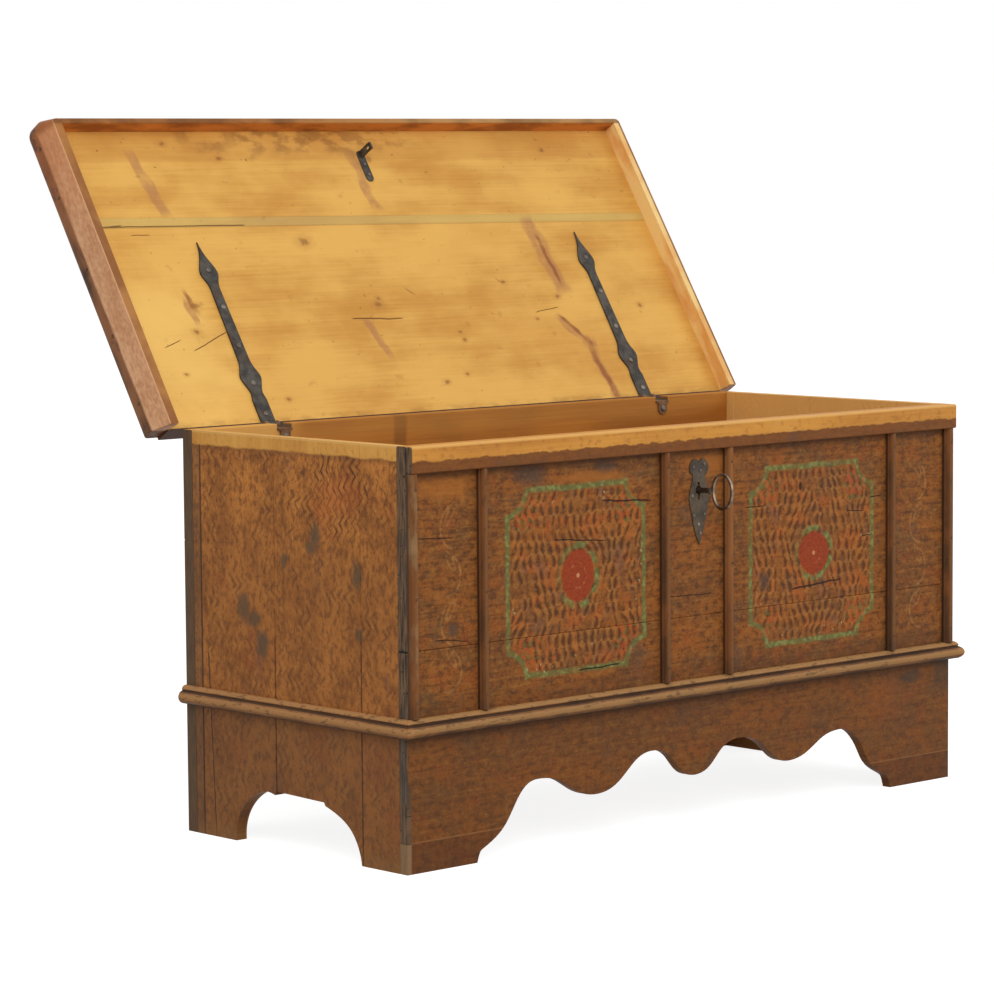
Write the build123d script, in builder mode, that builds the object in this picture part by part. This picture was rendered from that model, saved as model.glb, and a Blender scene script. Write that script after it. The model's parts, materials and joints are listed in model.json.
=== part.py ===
"""Painted softwood chest with a nailed plank carcase, sawn bracket feet, a strap-hinged lid and a hasp lock.

The lid stands open. X runs along the front, left to right; Y runs from front to back; Z is up. The origin
lies on the floor, under the middle of the space that the open chest takes.
"""
from build123d import *
from math import atan2, cos, degrees, radians, sin
import os

# ---- carcase ----
body_width = 1200
body_depth = 515
rim_height = 622
front_thickness = 20
side_thickness = 20
back_thickness = 22
skirt_height = 200
worn_arris = 1.2
front_joint_height = 325
back_joint_height = 452
side_joint_depths = (102, 299, 474)

# ---- front trim ----
rail_height = 39
rail_proud = 14
strip_widths = (17, 17, 17, 17, 17, 22)
strip_proud = 12
strip_centres = (-591.5, -454.5, -75.5, 64, 445.5, 588)
moulding_height = 28
moulding_proud = 17
apron_setback = 4
apron_thickness = 16
apron_centre = -4
foot_joint_height = 45

# ---- lid ----
open_angle = 122
pivot_depth = 527
pivot_height = 618
underside = 4.5
lid_thickness = 35
lid_side_gap = 9
lid_rear = 7
lid_front = 554
rail_thickness = 9
cleat_thickness = 16
lid_drop = 26
edge_flare = 14
edge_flare_height = 30
edge_round = 12
edge_corner = 8

# ---- hinges ----
hinge_centres = (-416, 421)
iron_thickness = 3.5
barrel_radius = 6.5
pin_radius = 3
running_clearance = 0.05
strap_knuckle = 12
leaf_knuckle = 8
leaf_width = 28
knuckle_gap = 0.5

# ---- lock and key ----
key_x = 0
key_height = 520
key_reach = 74
bow_height = 57
bow_depth = 44
bow_wire = 4
shank_radius = 4.2
bit_radius = 14
keyhole_radius = 6.5
drill_radius = 2.5
case_left, case_right = -60, 70
case_low, case_high = 490, 606
case_depth = 25
sheet = 2
catch_x = 5
bolt_low, bolt_high = 595, 602
bolt_tip = -1

# ---- places that follow from the sizes above ----
half_width = body_width / 2
lean = radians(open_angle - 90)
lid_top = underside + lid_thickness
lid_bottom = underside - lid_drop
lid_reach = (pivot_depth + (lid_front + edge_flare - edge_round) * sin(lean)
             + (lid_top - edge_round) * cos(lean) + edge_round)
front_y = (key_reach - lid_reach) / 2
side_inside = body_depth - back_thickness
tilt = radians(open_angle)
pivot = Vector(0, front_y + pivot_depth, pivot_height)
lid_up = Vector(0, sin(tilt), cos(tilt))
lid_back = Vector(0, cos(tilt), -sin(tilt))
hasp_reach = 497

os.makedirs("parts", exist_ok=True)


# ---- the planes that pieces are drawn on; depths count back from the front boards' outer face ----
def level(height):
    """A level plane: local X along the front, local Y is depth."""
    return Plane(origin=(0, front_y, height), x_dir=(1, 0, 0), z_dir=(0, 0, 1))


def facing_front(depth):
    """An upright plane whose normal points forward: local X along the front, local Y is height."""
    return Plane(origin=(0, front_y + depth, 0), x_dir=(1, 0, 0), z_dir=(0, -1, 0))


def section(x):
    """An upright plane across the chest, normal +X: local X is depth, local Y is height."""
    return Plane(origin=(x, front_y, 0), x_dir=(0, 1, 0), z_dir=(1, 0, 0))


def lid_level(height, x=0):
    """A plane along the lid, at a height above the hinge axis; local Y runs to the lid's rear edge."""
    return Plane(origin=pivot + lid_up * height + Vector(x, 0, 0), x_dir=(1, 0, 0), z_dir=lid_up)


def lid_section(x):
    """A plane across the lid, through the hinge axis: local X runs to the lid's rear edge, local Y is up."""
    return Plane(origin=pivot + Vector(x, 0, 0), x_dir=lid_back, z_dir=(1, 0, 0))


def leaf_section(x):
    """The same across the fixed leaf of a hinge, upright."""
    return Plane(origin=pivot + Vector(x, 0, 0), x_dir=(0, 1, 0), z_dir=(1, 0, 0))


def save(piece, name):
    """Label a finished piece and write it to its own file."""
    piece.part.label = name
    export_step(piece.part, f"parts/{name}.step")


# ---- nails: each is placed by the spot where the underside of its head rests ----
def make_nail(head_radius, head_height, nail_radius, length):
    """A nail with a domed head that stands on Z = 0, its shank pointing down."""
    with BuildPart() as nail:
        Cylinder(nail_radius, length, align=(Align.CENTER, Align.CENTER, Align.MAX))
        Cylinder(head_radius, head_height, align=(Align.CENTER, Align.CENTER, Align.MIN))
        fillet(nail.edges().sort_by(Axis.Z)[-1], head_height * 0.9)
    return nail.part


def drill(spots, radius, length):
    """Take the holes for nails out of the piece that is being made."""
    with Locations(*spots):
        Cylinder(radius, length + 1, align=(Align.CENTER, Align.CENTER, Align.MAX), mode=Mode.SUBTRACT)


def nail_group(name, nail, spots):
    """A set of like nails, one solid each."""
    with BuildPart() as group:
        with Locations(*spots):
            add(nail)
    save(group, name)


def spots_on(plane, places):
    """The given places on a plane, as locations."""
    return [plane.location * Location((x, y, 0)) for x, y in places]


strap_nail_radius = 2
strap_nail_length = 20
strap_nail_reaches = (21, 76, 144, 215, 283)
strap_face = underside - iron_thickness
strap_nail_spots = [
    Plane(origin=pivot + lid_up * strap_face - lid_back * reach + Vector(x, 0, 0), z_dir=-lid_up).location
    for x in hinge_centres for reach in strap_nail_reaches]

catch_thickness = 2.5
catch_nail_spots = [
    Plane(origin=pivot + lid_up * (underside - catch_thickness) - lid_back * reach + Vector(catch_x, 0, 0),
          z_dir=-lid_up).location
    for reach in (458, 478)]

tab_thickness = 3
tab_nail_height = 602
tab_nail_spots = spots_on(facing_front(side_inside - tab_thickness),
                          [(x, tab_nail_height) for x in hinge_centres])

plate_nail_radius = 1.3
plate_nail_length = 14
escutcheon_thickness = 2
escutcheon_nail_places = ((-12, 556), (4, 550), (12, 560), (-14, 512), (-11, 481), (12, 482), (-1, 467),
                          (3, 453))
escutcheon_nail_spots = spots_on(facing_front(-escutcheon_thickness), escutcheon_nail_places)

lock_margin = 6
lock_nail_places = [(x, z) for x in (case_left - lock_margin / 2, case_right + lock_margin / 2)
                    for z in (case_low + 12, case_high - 12)]
lock_nail_spots = spots_on(
    Plane(origin=(0, front_y + front_thickness + sheet, 0), x_dir=(1, 0, 0), z_dir=(0, 1, 0)),
    [(x, -z) for x, z in lock_nail_places])

brad_radius = 1.5
brad_length = 22
strip_nail_spots = spots_on(facing_front(-strip_proud),
                            [(x, z) for x in strip_centres for z in (252, 402, 560)])

back_nail_radius = 1.8
back_nail_length = 45
back_nail_heights = (250, 330, 425, 480, 560, 605)
back_nail_spots = spots_on(
    Plane(origin=(0, front_y + body_depth, 0), x_dir=(-1, 0, 0), z_dir=(0, 1, 0)),
    [(side * (half_width - side_thickness / 2), z) for side in (-1, 1) for z in back_nail_heights])

cleat_nail_reaches = (60, 180, 300, 430, 520)
cleat_nail_height = 16
cleat_face = half_width + lid_side_gap + cleat_thickness + edge_flare
cleat_nail_spots = [
    Plane(origin=pivot + lid_up * cleat_nail_height - lid_back * reach + Vector(side * cleat_face, 0, 0),
          x_dir=lid_back, z_dir=(side, 0, 0)).location
    for side in (-1, 1) for reach in cleat_nail_reaches]


# ---- front boards, with the keyhole and the lock's nails in the upper one ----
def keyhole():
    """The keyhole's outline: a round for the shank with a slot for the bit, which runs on above it."""
    slot_width, slot_low, slot_high = 5, bit_radius + 1, 12
    with BuildSketch() as hole:
        with Locations((key_x, key_height)):
            Circle(keyhole_radius)
        with Locations((key_x, key_height + (slot_high - slot_low) / 2)):
            Rectangle(slot_width, slot_low + slot_high)
    return hole.sketch


for name, low, high in (("front_lower_board", skirt_height, front_joint_height),
                        ("front_upper_board", front_joint_height, rim_height)):
    with BuildPart() as front_board:
        with BuildSketch(facing_front(0)):
            with Locations((0, (low + high) / 2)):
                Rectangle(body_width, high - low)
        extrude(amount=-front_thickness)
        chamfer(front_board.edges().filter_by(Axis.X), worn_arris)
        if name == "front_upper_board":
            with BuildSketch(facing_front(0)):
                add(keyhole())
            extrude(amount=-front_thickness, mode=Mode.SUBTRACT)
            drill(escutcheon_nail_spots, plate_nail_radius, plate_nail_length)
            drill(lock_nail_spots, plate_nail_radius, plate_nail_length)
        drill(strip_nail_spots, brad_radius, brad_length)
    save(front_board, name)

# ---- top rail along the rim, rubbed round at its ends and along both front arrises ----
rail_end_round = 6
rail_worn = 2.5
with BuildPart() as top_rail:
    with BuildSketch(level(rim_height - rail_height)):
        with Locations((0, -rail_proud / 2)):
            Rectangle(body_width, rail_proud)
    extrude(amount=rail_height)
    fillet(top_rail.edges().filter_by(Axis.Z).group_by(Axis.Y)[0], rail_end_round)
    front_arrises = top_rail.edges().filter_by(Plane.XY).filter_by(lambda edge: edge.center().Y < front_y - 1)
    fillet(front_arrises, rail_worn)
save(top_rail, "top_rail")

# ---- upright strips: a flattened bead between two fillets ----
strip_low = skirt_height + moulding_height
strip_high = rim_height - rail_height
strip_fillet = 2.5
fillet_depth = 5
for number, (centre, width) in enumerate(zip(strip_centres, strip_widths), start=1):
    bead_half = width / 2 - strip_fillet
    with BuildPart() as strip:
        with BuildSketch(level(strip_low)):
            with BuildLine():
                Polyline((centre - bead_half, -fillet_depth), (centre - width / 2, -fillet_depth),
                         (centre - width / 2, 0), (centre + width / 2, 0),
                         (centre + width / 2, -fillet_depth), (centre + bead_half, -fillet_depth))
                ThreePointArc((centre + bead_half, -fillet_depth), (centre, -strip_proud),
                              (centre - bead_half, -fillet_depth))
            make_face()
        extrude(amount=strip_high - strip_low)
        drill(strip_nail_spots, brad_radius, brad_length)
    save(strip, f"front_strip_{number}")


# ---- base moulding: a rounded slope over a nose, with a fine groove between, mitred at the front ----
def moulding_profile(sign):
    """The moulding's section, its back on local X = 0; it stands proud towards sign."""
    low, high = skirt_height, skirt_height + moulding_height
    groove = low + 19.5
    with BuildSketch() as profile:
        with BuildLine():
            Polyline((sign * 10, groove), (sign * 8.5, groove + 1), (sign * 10, groove + 2))
            ThreePointArc((sign * 10, groove + 2), (sign * 8, high - 2.5), (sign * 4, high))
            Polyline((sign * 4, high), (0, high), (0, low), (sign * 10, low), (sign * 12, low + 1.5))
            ThreePointArc((sign * 12, low + 1.5), (sign * moulding_proud, low + 10), (sign * 10, groove))
        make_face()
    return profile.sketch


def mitre_waste(side, keep_front):
    """The wedge that a mitre saw takes off one front corner, from the front or from the side length."""
    reach = moulding_proud + 1
    corner = (side * half_width, 0)
    outer = (side * (half_width + reach), -reach)
    waste = (side * (half_width + reach), 0) if keep_front else (side * half_width, -reach)
    with BuildPart() as wedge:
        with BuildSketch(level(skirt_height)):
            with BuildLine():
                Polyline(corner, outer, waste, close=True)
            make_face()
        extrude(amount=moulding_height)
    return wedge.part


with BuildPart() as front_moulding:
    with BuildSketch(section(-half_width - moulding_proud)):
        add(moulding_profile(-1))
    extrude(amount=body_width + 2 * moulding_proud)
    for side in (-1, 1):
        add(mitre_waste(side, keep_front=True), mode=Mode.SUBTRACT)
save(front_moulding, "front_moulding")

for side, name in ((-1, "left_moulding"), (1, "right_moulding")):
    with BuildPart() as side_moulding:
        with BuildSketch(facing_front(-moulding_proud)):
            with Locations((side * half_width, 0)):
                add(moulding_profile(side))
        extrude(amount=-(body_depth + moulding_proud))
        add(mitre_waste(side, keep_front=False), mode=Mode.SUBTRACT)
    save(side_moulding, name)


# ---- apron with its sawn lower edge, and the foot pieces under its two ends ----
# Each half of the edge runs outwards from the middle lobe: flank, arch, flank, lobe, flank, arch, and then
# the scroll down to the foot. The saw didn't follow both halves alike.
left_edge = (((0, 76), (-54, 111), (-93, 124.5)), ((-93, 124.5), (-146, 101), (-213, 72)),
             ((-213, 72), (-295, 104), (-335, 110)),
             ((-335, 110), (-368, 96), (-386, 72), (-402, 50), (-424, 32), (-447, 20), (-459, 0)))
right_edge = (((0, 76), (61, 111), (101, 123)), ((101, 123), (158, 102), (214, 73)),
              ((214, 73), (299, 104), (337, 110)),
              ((337, 110), (369, 98), (389, 75), (403, 52), (424, 34), (447, 22), (458, 0)))


def apron_outline():
    """The apron and its feet in one outline."""
    c = apron_centre
    with BuildSketch() as outline:
        for side, edge in ((-1, left_edge), (1, right_edge)):
            with BuildLine():
                for waves in edge[:-1]:
                    Spline(*[(c + x, z) for x, z in waves], tangents=((side, 0), (side, 0)))
                Spline(*[(c + x, z) for x, z in edge[-1]], tangents=((side, 0), (side * 0.3, -1)))
                foot = c + edge[-1][-1][0]
                Polyline((foot, 0), (side * half_width, 0), (side * half_width, skirt_height),
                         (c, skirt_height), (c, edge[0][0][1]))
            make_face()
    return outline.sketch


with BuildPart() as front_apron:
    with BuildSketch(facing_front(apron_setback)):
        add(apron_outline())
        with Locations((0, foot_joint_height)):
            Rectangle(body_width, skirt_height, align=(Align.CENTER, Align.MIN), mode=Mode.INTERSECT)
    extrude(amount=-apron_thickness)
save(front_apron, "front_apron")

for side, name in ((-1, "left_foot_piece"), (1, "right_foot_piece")):
    with BuildPart() as foot_piece:
        with BuildSketch(facing_front(apron_setback)):
            add(apron_outline())
            with Locations((side * half_width / 2, 0)):
                Rectangle(half_width, foot_joint_height, align=(Align.CENTER, Align.MIN), mode=Mode.INTERSECT)
        extrude(amount=-apron_thickness)
    save(foot_piece, name)


# ---- sides: upright planks from the rim to the floor, sawn to an arch between two feet ----
def side_arch():
    """The arch between the front and the back foot."""
    with BuildSketch() as arch:
        with BuildLine():
            Spline((105, 0), (114, 29), (129, 50), (157, 68), (187, 79))
            Polyline((187, 79), (190, 84), (302, 87), (304, 81))
            Spline((304, 81), (333, 83), (361, 70), (387, 43), (397, 0))
            Line((397, 0), (105, 0))
        make_face()
    return arch.sketch


plank_edges = (front_thickness, *side_joint_depths, side_inside)
for side, side_name in ((-1, "left"), (1, "right")):
    inner_x = -half_width if side < 0 else half_width - side_thickness
    for number, (near, far) in enumerate(zip(plank_edges, plank_edges[1:]), start=1):
        with BuildPart() as side_plank:
            with BuildSketch(section(inner_x)):
                with Locations(((near + far) / 2, rim_height / 2)):
                    Rectangle(far - near, rim_height)
                add(side_arch(), mode=Mode.SUBTRACT)
            extrude(amount=side_thickness)
            chamfer(side_plank.edges().filter_by(Axis.Z), worn_arris)
            drill(back_nail_spots, back_nail_radius, back_nail_length)
        save(side_plank, f"{side_name}_side_plank_{number}")

# ---- back boards, lapped over the sides, with a notch for each hinge leaf in the upper one ----
leaf_floor = pivot_height - barrel_radius
for name, low, high in (("back_lower_board", skirt_height, back_joint_height),
                        ("back_upper_board", back_joint_height, rim_height)):
    with BuildPart() as back_board:
        with BuildSketch(level(low)):
            with Locations((0, body_depth - back_thickness / 2)):
                Rectangle(body_width, back_thickness)
        extrude(amount=high - low)
        chamfer(back_board.edges().filter_by(Axis.X), worn_arris)
        if name == "back_upper_board":
            with BuildSketch(level(leaf_floor)):
                with Locations(*[(x, body_depth - back_thickness / 2) for x in hinge_centres]):
                    Rectangle(leaf_width + 2, back_thickness)
            extrude(amount=rim_height - leaf_floor, mode=Mode.SUBTRACT)
            drill(tab_nail_spots, plate_nail_radius, plate_nail_length)
        drill(back_nail_spots, back_nail_radius, back_nail_length)
    save(back_board, name)

# ---- skirt between the back feet ----
back_foot_width = 85
back_arch_height = 88
back_arch_round = 30
with BuildPart() as back_skirt:
    with BuildSketch(facing_front(side_inside)):
        with Locations((0, skirt_height / 2)):
            Rectangle(body_width, skirt_height)
        with Locations((0, back_arch_height / 2)):
            Rectangle(body_width - 2 * back_foot_width, back_arch_height, mode=Mode.SUBTRACT)
    extrude(amount=-back_thickness)
    arch_corners = back_skirt.edges().filter_by(Axis.Y).group_by(Axis.Z)[-2]
    fillet(arch_corners, back_arch_round)
save(back_skirt, "back_skirt")

# ---- bottom: three boards on two battens ----
batten_height = 24
floor_thickness = 20
floor_boards = 3
inside_width = body_width - 2 * side_thickness
inside_depth = side_inside - front_thickness
floor_clearance = 2
floor_low = skirt_height + floor_clearance
batten_width = 60
batten_centre = 350
for number in range(floor_boards):
    board_depth = inside_depth / floor_boards
    with BuildPart() as floor_board:
        with BuildSketch(level(floor_low)):
            with Locations((0, front_thickness + (number + 0.5) * board_depth)):
                Rectangle(inside_width, board_depth)
        extrude(amount=floor_thickness)
        chamfer(floor_board.edges().filter_by(Axis.X), worn_arris)
    save(floor_board, f"floor_board_{number + 1}")

for side, name in ((-1, "left_floor_batten"), (1, "right_floor_batten")):
    with BuildPart() as batten:
        with BuildSketch(level(floor_low - batten_height)):
            with Locations((side * batten_centre, front_thickness + inside_depth / 2)):
                Rectangle(batten_width, inside_depth)
        extrude(amount=batten_height)
    save(batten, name)


# ---- lid boards: the filler strip between the two boards runs a little askew ----
lid_half = half_width + lid_side_gap
rear_seam = (367, 359)
front_seam = (385, 372)
rail_inside = lid_front - rail_thickness


def lid_board(name, rear_edge, front_edge):
    """A board of the lid between two edges, each given by its reach at the left and the right end."""
    with BuildPart() as board:
        with BuildSketch(lid_level(underside)):
            with BuildLine():
                Polyline((-lid_half, -rear_edge[0]), (lid_half, -rear_edge[1]), (lid_half, -front_edge[1]),
                         (-lid_half, -front_edge[0]), close=True)
            make_face()
        extrude(amount=lid_thickness)
        drill(strap_nail_spots, strap_nail_radius, strap_nail_length)
        drill(catch_nail_spots, plate_nail_radius, plate_nail_length)
        drill(cleat_nail_spots, brad_radius, back_nail_length)
    save(board, name)


lid_board("lid_rear_board", (lid_rear, lid_rear), rear_seam)
lid_board("lid_filler_strip", rear_seam, front_seam)
lid_board("lid_front_board", front_seam, (rail_inside, rail_inside))


# ---- rail and cleats round the lid: their outer faces flare out and upwards to a rounded top arris ----
cleat_rear_low, cleat_rear_high = 4, 11
cleat_rear_step = 6
with BuildPart() as edge_block:
    block_rear = 40
    with BuildSketch(lid_level(lid_bottom)) as block_foot:
        with Locations((0, (block_rear - lid_front) / 2)):
            Rectangle(2 * (lid_half + cleat_thickness), lid_front + block_rear)
        fillet(block_foot.vertices().group_by(Axis.Y)[0], edge_corner)
    extrude(amount=edge_flare_height, taper=-degrees(atan2(edge_flare, edge_flare_height)))
    extrude(edge_block.faces().sort_by(lambda face: (face.center() - pivot).dot(lid_up))[-1],
            amount=lid_top - lid_bottom - edge_flare_height)
    top_face = edge_block.faces().sort_by(lambda face: (face.center() - pivot).dot(lid_up))[-1]
    fillet(top_face.edges(), edge_round)

with BuildPart() as lid_front_rail:
    add(edge_block.part)
    with BuildSketch(lid_level(lid_bottom)):
        with Locations((0, -rail_inside)):
            Rectangle(2 * lid_half, 2 * lid_front, align=(Align.CENTER, Align.MAX))
    extrude(amount=lid_top - lid_bottom, mode=Mode.INTERSECT)
save(lid_front_rail, "lid_front_rail")

# ---- end cleats: nailed to the lid's ends, they drop over the sides when it is shut ----
for side, name in ((-1, "left_lid_cleat"), (1, "right_lid_cleat")):
    with BuildPart() as cleat:
        add(edge_block.part)
        with BuildSketch(lid_section(-cleat_face if side < 0 else lid_half)):
            with BuildLine():
                Polyline((-2 * lid_front, lid_bottom), (-cleat_rear_low, lid_bottom),
                         (-cleat_rear_low, lid_bottom + cleat_rear_step), (-cleat_rear_high, lid_top - 18),
                         (-cleat_rear_high, lid_top), (-2 * lid_front, lid_top), close=True)
            make_face()
        extrude(amount=cleat_thickness + edge_flare, mode=Mode.INTERSECT)
        drill(cleat_nail_spots, brad_radius, back_nail_length)
    save(cleat, name)


# ---- strap hinges: a long forged strap under the lid, with its eye round the pin ----
def strap_outline():
    """The strap seen flat, from its spear point to the eye: a long taper, then a leaf near the root."""
    half_root, half_eye, root_end = 14, strap_knuckle / 2, barrel_radius + 1.5
    with BuildSketch() as outline:
        for side in (-1, 1):
            with BuildLine():
                Spline((0, -336), (side * 6, -308), (side * 17, -276), (side * 9, -248),
                       tangents=((side * 0.1, 1), (0, 1)))
                Line((side * 9, -248), (side * 11, -122))
                Spline((side * 11, -122), (side * 20, -85), (side * 11.5, -60), (side * half_root, -46),
                       tangents=((0, 1), (side * 0.2, 1)))
                Polyline((side * half_root, -46), (side * half_root, -root_end), (side * half_eye, -root_end),
                         (side * half_eye, 0), (0, 0), (0, -336))
            make_face()
    return outline.sketch


pin_hole = pin_radius + running_clearance
for x, side_name in zip(hinge_centres, ("left", "right")):
    with BuildPart() as strap:
        with BuildSketch(lid_level(strap_face, x)):
            add(strap_outline())
        extrude(amount=iron_thickness)
        with BuildSketch(lid_section(x - strap_knuckle / 2)):
            Circle(barrel_radius)
        extrude(amount=strap_knuckle)
        with BuildSketch(lid_section(x - strap_knuckle / 2)):
            Circle(pin_hole)
        extrude(amount=strap_knuckle, mode=Mode.SUBTRACT)
        drill(strap_nail_spots, strap_nail_radius, strap_nail_length)
    save(strap, f"{side_name}_hinge_strap")

    tab_length, tab_width = 23, 20
    tab_back = side_inside - pivot_depth
    tab_front = tab_back - tab_thickness
    tab_top = iron_thickness - barrel_radius
    leaf_span = strap_knuckle + 2 * (knuckle_gap + leaf_knuckle)
    with BuildPart() as leaf:
        with BuildSketch(leaf_section(x - leaf_width / 2)):
            with Locations((tab_front / 2, tab_top - iron_thickness / 2)):
                Rectangle(-tab_front, iron_thickness)
        extrude(amount=leaf_width)
        tab_plane = Plane(origin=pivot + Vector(x, tab_front, tab_top), x_dir=(1, 0, 0), z_dir=(0, -1, 0))
        with BuildSketch(tab_plane):
            with Locations((0, -(tab_length - tab_width / 2) / 2)):
                Rectangle(tab_width, tab_length - tab_width / 2)
            with Locations((0, tab_width / 2 - tab_length)):
                Circle(tab_width / 2)
        extrude(amount=-tab_thickness)
        with BuildSketch(leaf_section(x - leaf_span / 2)):
            Circle(barrel_radius)
        extrude(amount=leaf_span)
        with BuildSketch(leaf_section(x - leaf_span / 2)):
            Circle(pin_radius)
        extrude(amount=leaf_span, mode=Mode.SUBTRACT)
        slot_width = strap_knuckle + 2 * knuckle_gap
        with Locations(pivot + Vector(x, 0, 0)):
            Box(slot_width, 2 * barrel_radius + 1, 2 * barrel_radius + 1, mode=Mode.SUBTRACT)
        drill(tab_nail_spots, plate_nail_radius, plate_nail_length)
    save(leaf, f"{side_name}_hinge_leaf")

    head_thickness = 1.5
    with BuildPart() as hinge_pin:
        with BuildSketch(leaf_section(x - leaf_span / 2)):
            Circle(pin_radius)
        extrude(amount=leaf_span)
        for head_x in (x - leaf_span / 2 - head_thickness, x + leaf_span / 2):
            with BuildSketch(leaf_section(head_x)):
                Circle(pin_radius + 1.5)
            extrude(amount=head_thickness)
    save(hinge_pin, f"{side_name}_hinge_pin")

# ---- hasp under the lid's front: a plate, and an upright loop that the bolt passes through ----
hasp_width, hasp_depth, hasp_drop, plate_width = 5, 12, 33, 15
loop_width, loop_top, loop_height = 6.5, 19, 10
with BuildPart() as lid_hasp:
    with BuildSketch(lid_level(underside - catch_thickness, catch_x)):
        with Locations((0, -475)):
            SlotOverall(60, plate_width, rotation=90)
    extrude(amount=catch_thickness)
    with BuildSketch(lid_section(catch_x - hasp_width / 2)):
        with Locations((-hasp_reach, underside - hasp_drop / 2)):
            Rectangle(hasp_depth, hasp_drop)
        with Locations((-hasp_reach, underside - loop_top - loop_height / 2)):
            Rectangle(loop_width, loop_height, mode=Mode.SUBTRACT)
    extrude(amount=hasp_width)
    drill(catch_nail_spots, plate_nail_radius, plate_nail_length)
save(lid_hasp, "lid_hasp")

# ---- lock: a plate on the front board's inner face under a folded sheet case ----
case_back = front_thickness
case_cover = case_back + case_depth
with BuildPart() as lock_plate:
    with BuildSketch(facing_front(case_back)):
        with Locations(((case_left + case_right) / 2, (case_low + case_high) / 2)):
            Rectangle(case_right - case_left + 2 * lock_margin, case_high - case_low + lock_margin)
        add(keyhole(), mode=Mode.SUBTRACT)
    extrude(amount=-sheet)
    drill(lock_nail_spots, plate_nail_radius, plate_nail_length)
save(lock_plate, "lock_plate")

rib_width, rib_height, rib_gap = 4, 6, 0.3
hasp_hole_width, hasp_hole_depth = 12, 15
with BuildPart() as lock_case:
    with BuildSketch(facing_front(case_back + sheet)):
        with Locations(((case_left + case_right) / 2, (case_low + case_high) / 2)):
            Rectangle(case_right - case_left, case_high - case_low)
    extrude(amount=-(case_depth - sheet))
    with BuildSketch(facing_front(case_back + sheet)):
        with Locations(((case_left + case_right) / 2, (case_low + case_high) / 2)):
            Rectangle(case_right - case_left - 2 * sheet, case_high - case_low - 2 * sheet)
    extrude(amount=-(case_depth - 2 * sheet), mode=Mode.SUBTRACT)
    with BuildSketch(level(case_high - sheet)):
        with Locations((catch_x, pivot_depth - hasp_reach)):
            Rectangle(hasp_hole_width, hasp_hole_depth)
    extrude(amount=sheet, mode=Mode.SUBTRACT)
    with BuildSketch(facing_front(case_back + sheet + 1)):
        with Locations(*[(x, bolt_low - rib_gap - rib_height / 2) for x in (-48, bolt_tip)]):
            Rectangle(rib_width, rib_height)
    extrude(amount=-(case_depth - 2 * sheet - 1))
    with BuildSketch(facing_front(case_cover)):
        with Locations((key_x, key_height)):
            Circle(drill_radius + running_clearance)
    extrude(amount=sheet, mode=Mode.SUBTRACT)
save(lock_case, "lock_case")

bolt_depth = pivot_depth - hasp_reach
bolt_thickness = 5
bolt_length = 55
tail_x, tail_width = -24, 12
talon_x, talon_width, talon_height = -14, 32, 9
talon_top = key_height + bit_radius + 2 + talon_height
with BuildPart() as lock_bolt:
    with BuildSketch(facing_front(bolt_depth - bolt_thickness / 2)):
        with Locations((bolt_tip - bolt_length / 2, (bolt_low + bolt_high) / 2)):
            Rectangle(bolt_length, bolt_high - bolt_low)
        with Locations((tail_x, (bolt_low + talon_top) / 2)):
            Rectangle(tail_width, bolt_low - talon_top)
        with Locations((talon_x, talon_top - talon_height / 2)):
            Rectangle(talon_width, talon_height)
    extrude(amount=-bolt_thickness)
save(lock_bolt, "lock_bolt")

spring_sheet, spring_width = 1.2, 6
spring_root, spring_crown, spring_middle, spring_half = -57, -31, 566, 22
spring_inner = spring_half - spring_sheet
with BuildPart() as lock_spring:
    with BuildSketch(facing_front(bolt_depth + bolt_thickness)):
        with BuildLine():
            outer_face = ThreePointArc((spring_root, spring_middle + spring_half),
                                       (spring_crown, spring_middle),
                                       (spring_root, spring_middle - spring_half))
            inner_face = ThreePointArc((spring_root, spring_middle - spring_inner),
                                       (spring_crown - spring_sheet, spring_middle),
                                       (spring_root, spring_middle + spring_inner))
            Line(outer_face @ 1, inner_face @ 0)
            Line(inner_face @ 1, outer_face @ 0)
        make_face()
    extrude(amount=-spring_width)
save(lock_spring, "lock_spring")

drill_pin_inner = 24
drill_pin_outer = case_cover + 0.2
with BuildPart() as drill_pin:
    with BuildSketch(facing_front(drill_pin_inner)):
        with Locations((key_x, key_height)):
            Circle(drill_radius)
    extrude(amount=-(drill_pin_outer - drill_pin_inner))
    with BuildSketch(facing_front(drill_pin_outer)):
        with Locations((key_x, key_height)):
            Circle(2 * drill_radius)
    extrude(amount=-1.5)
save(drill_pin, "drill_pin")

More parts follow.
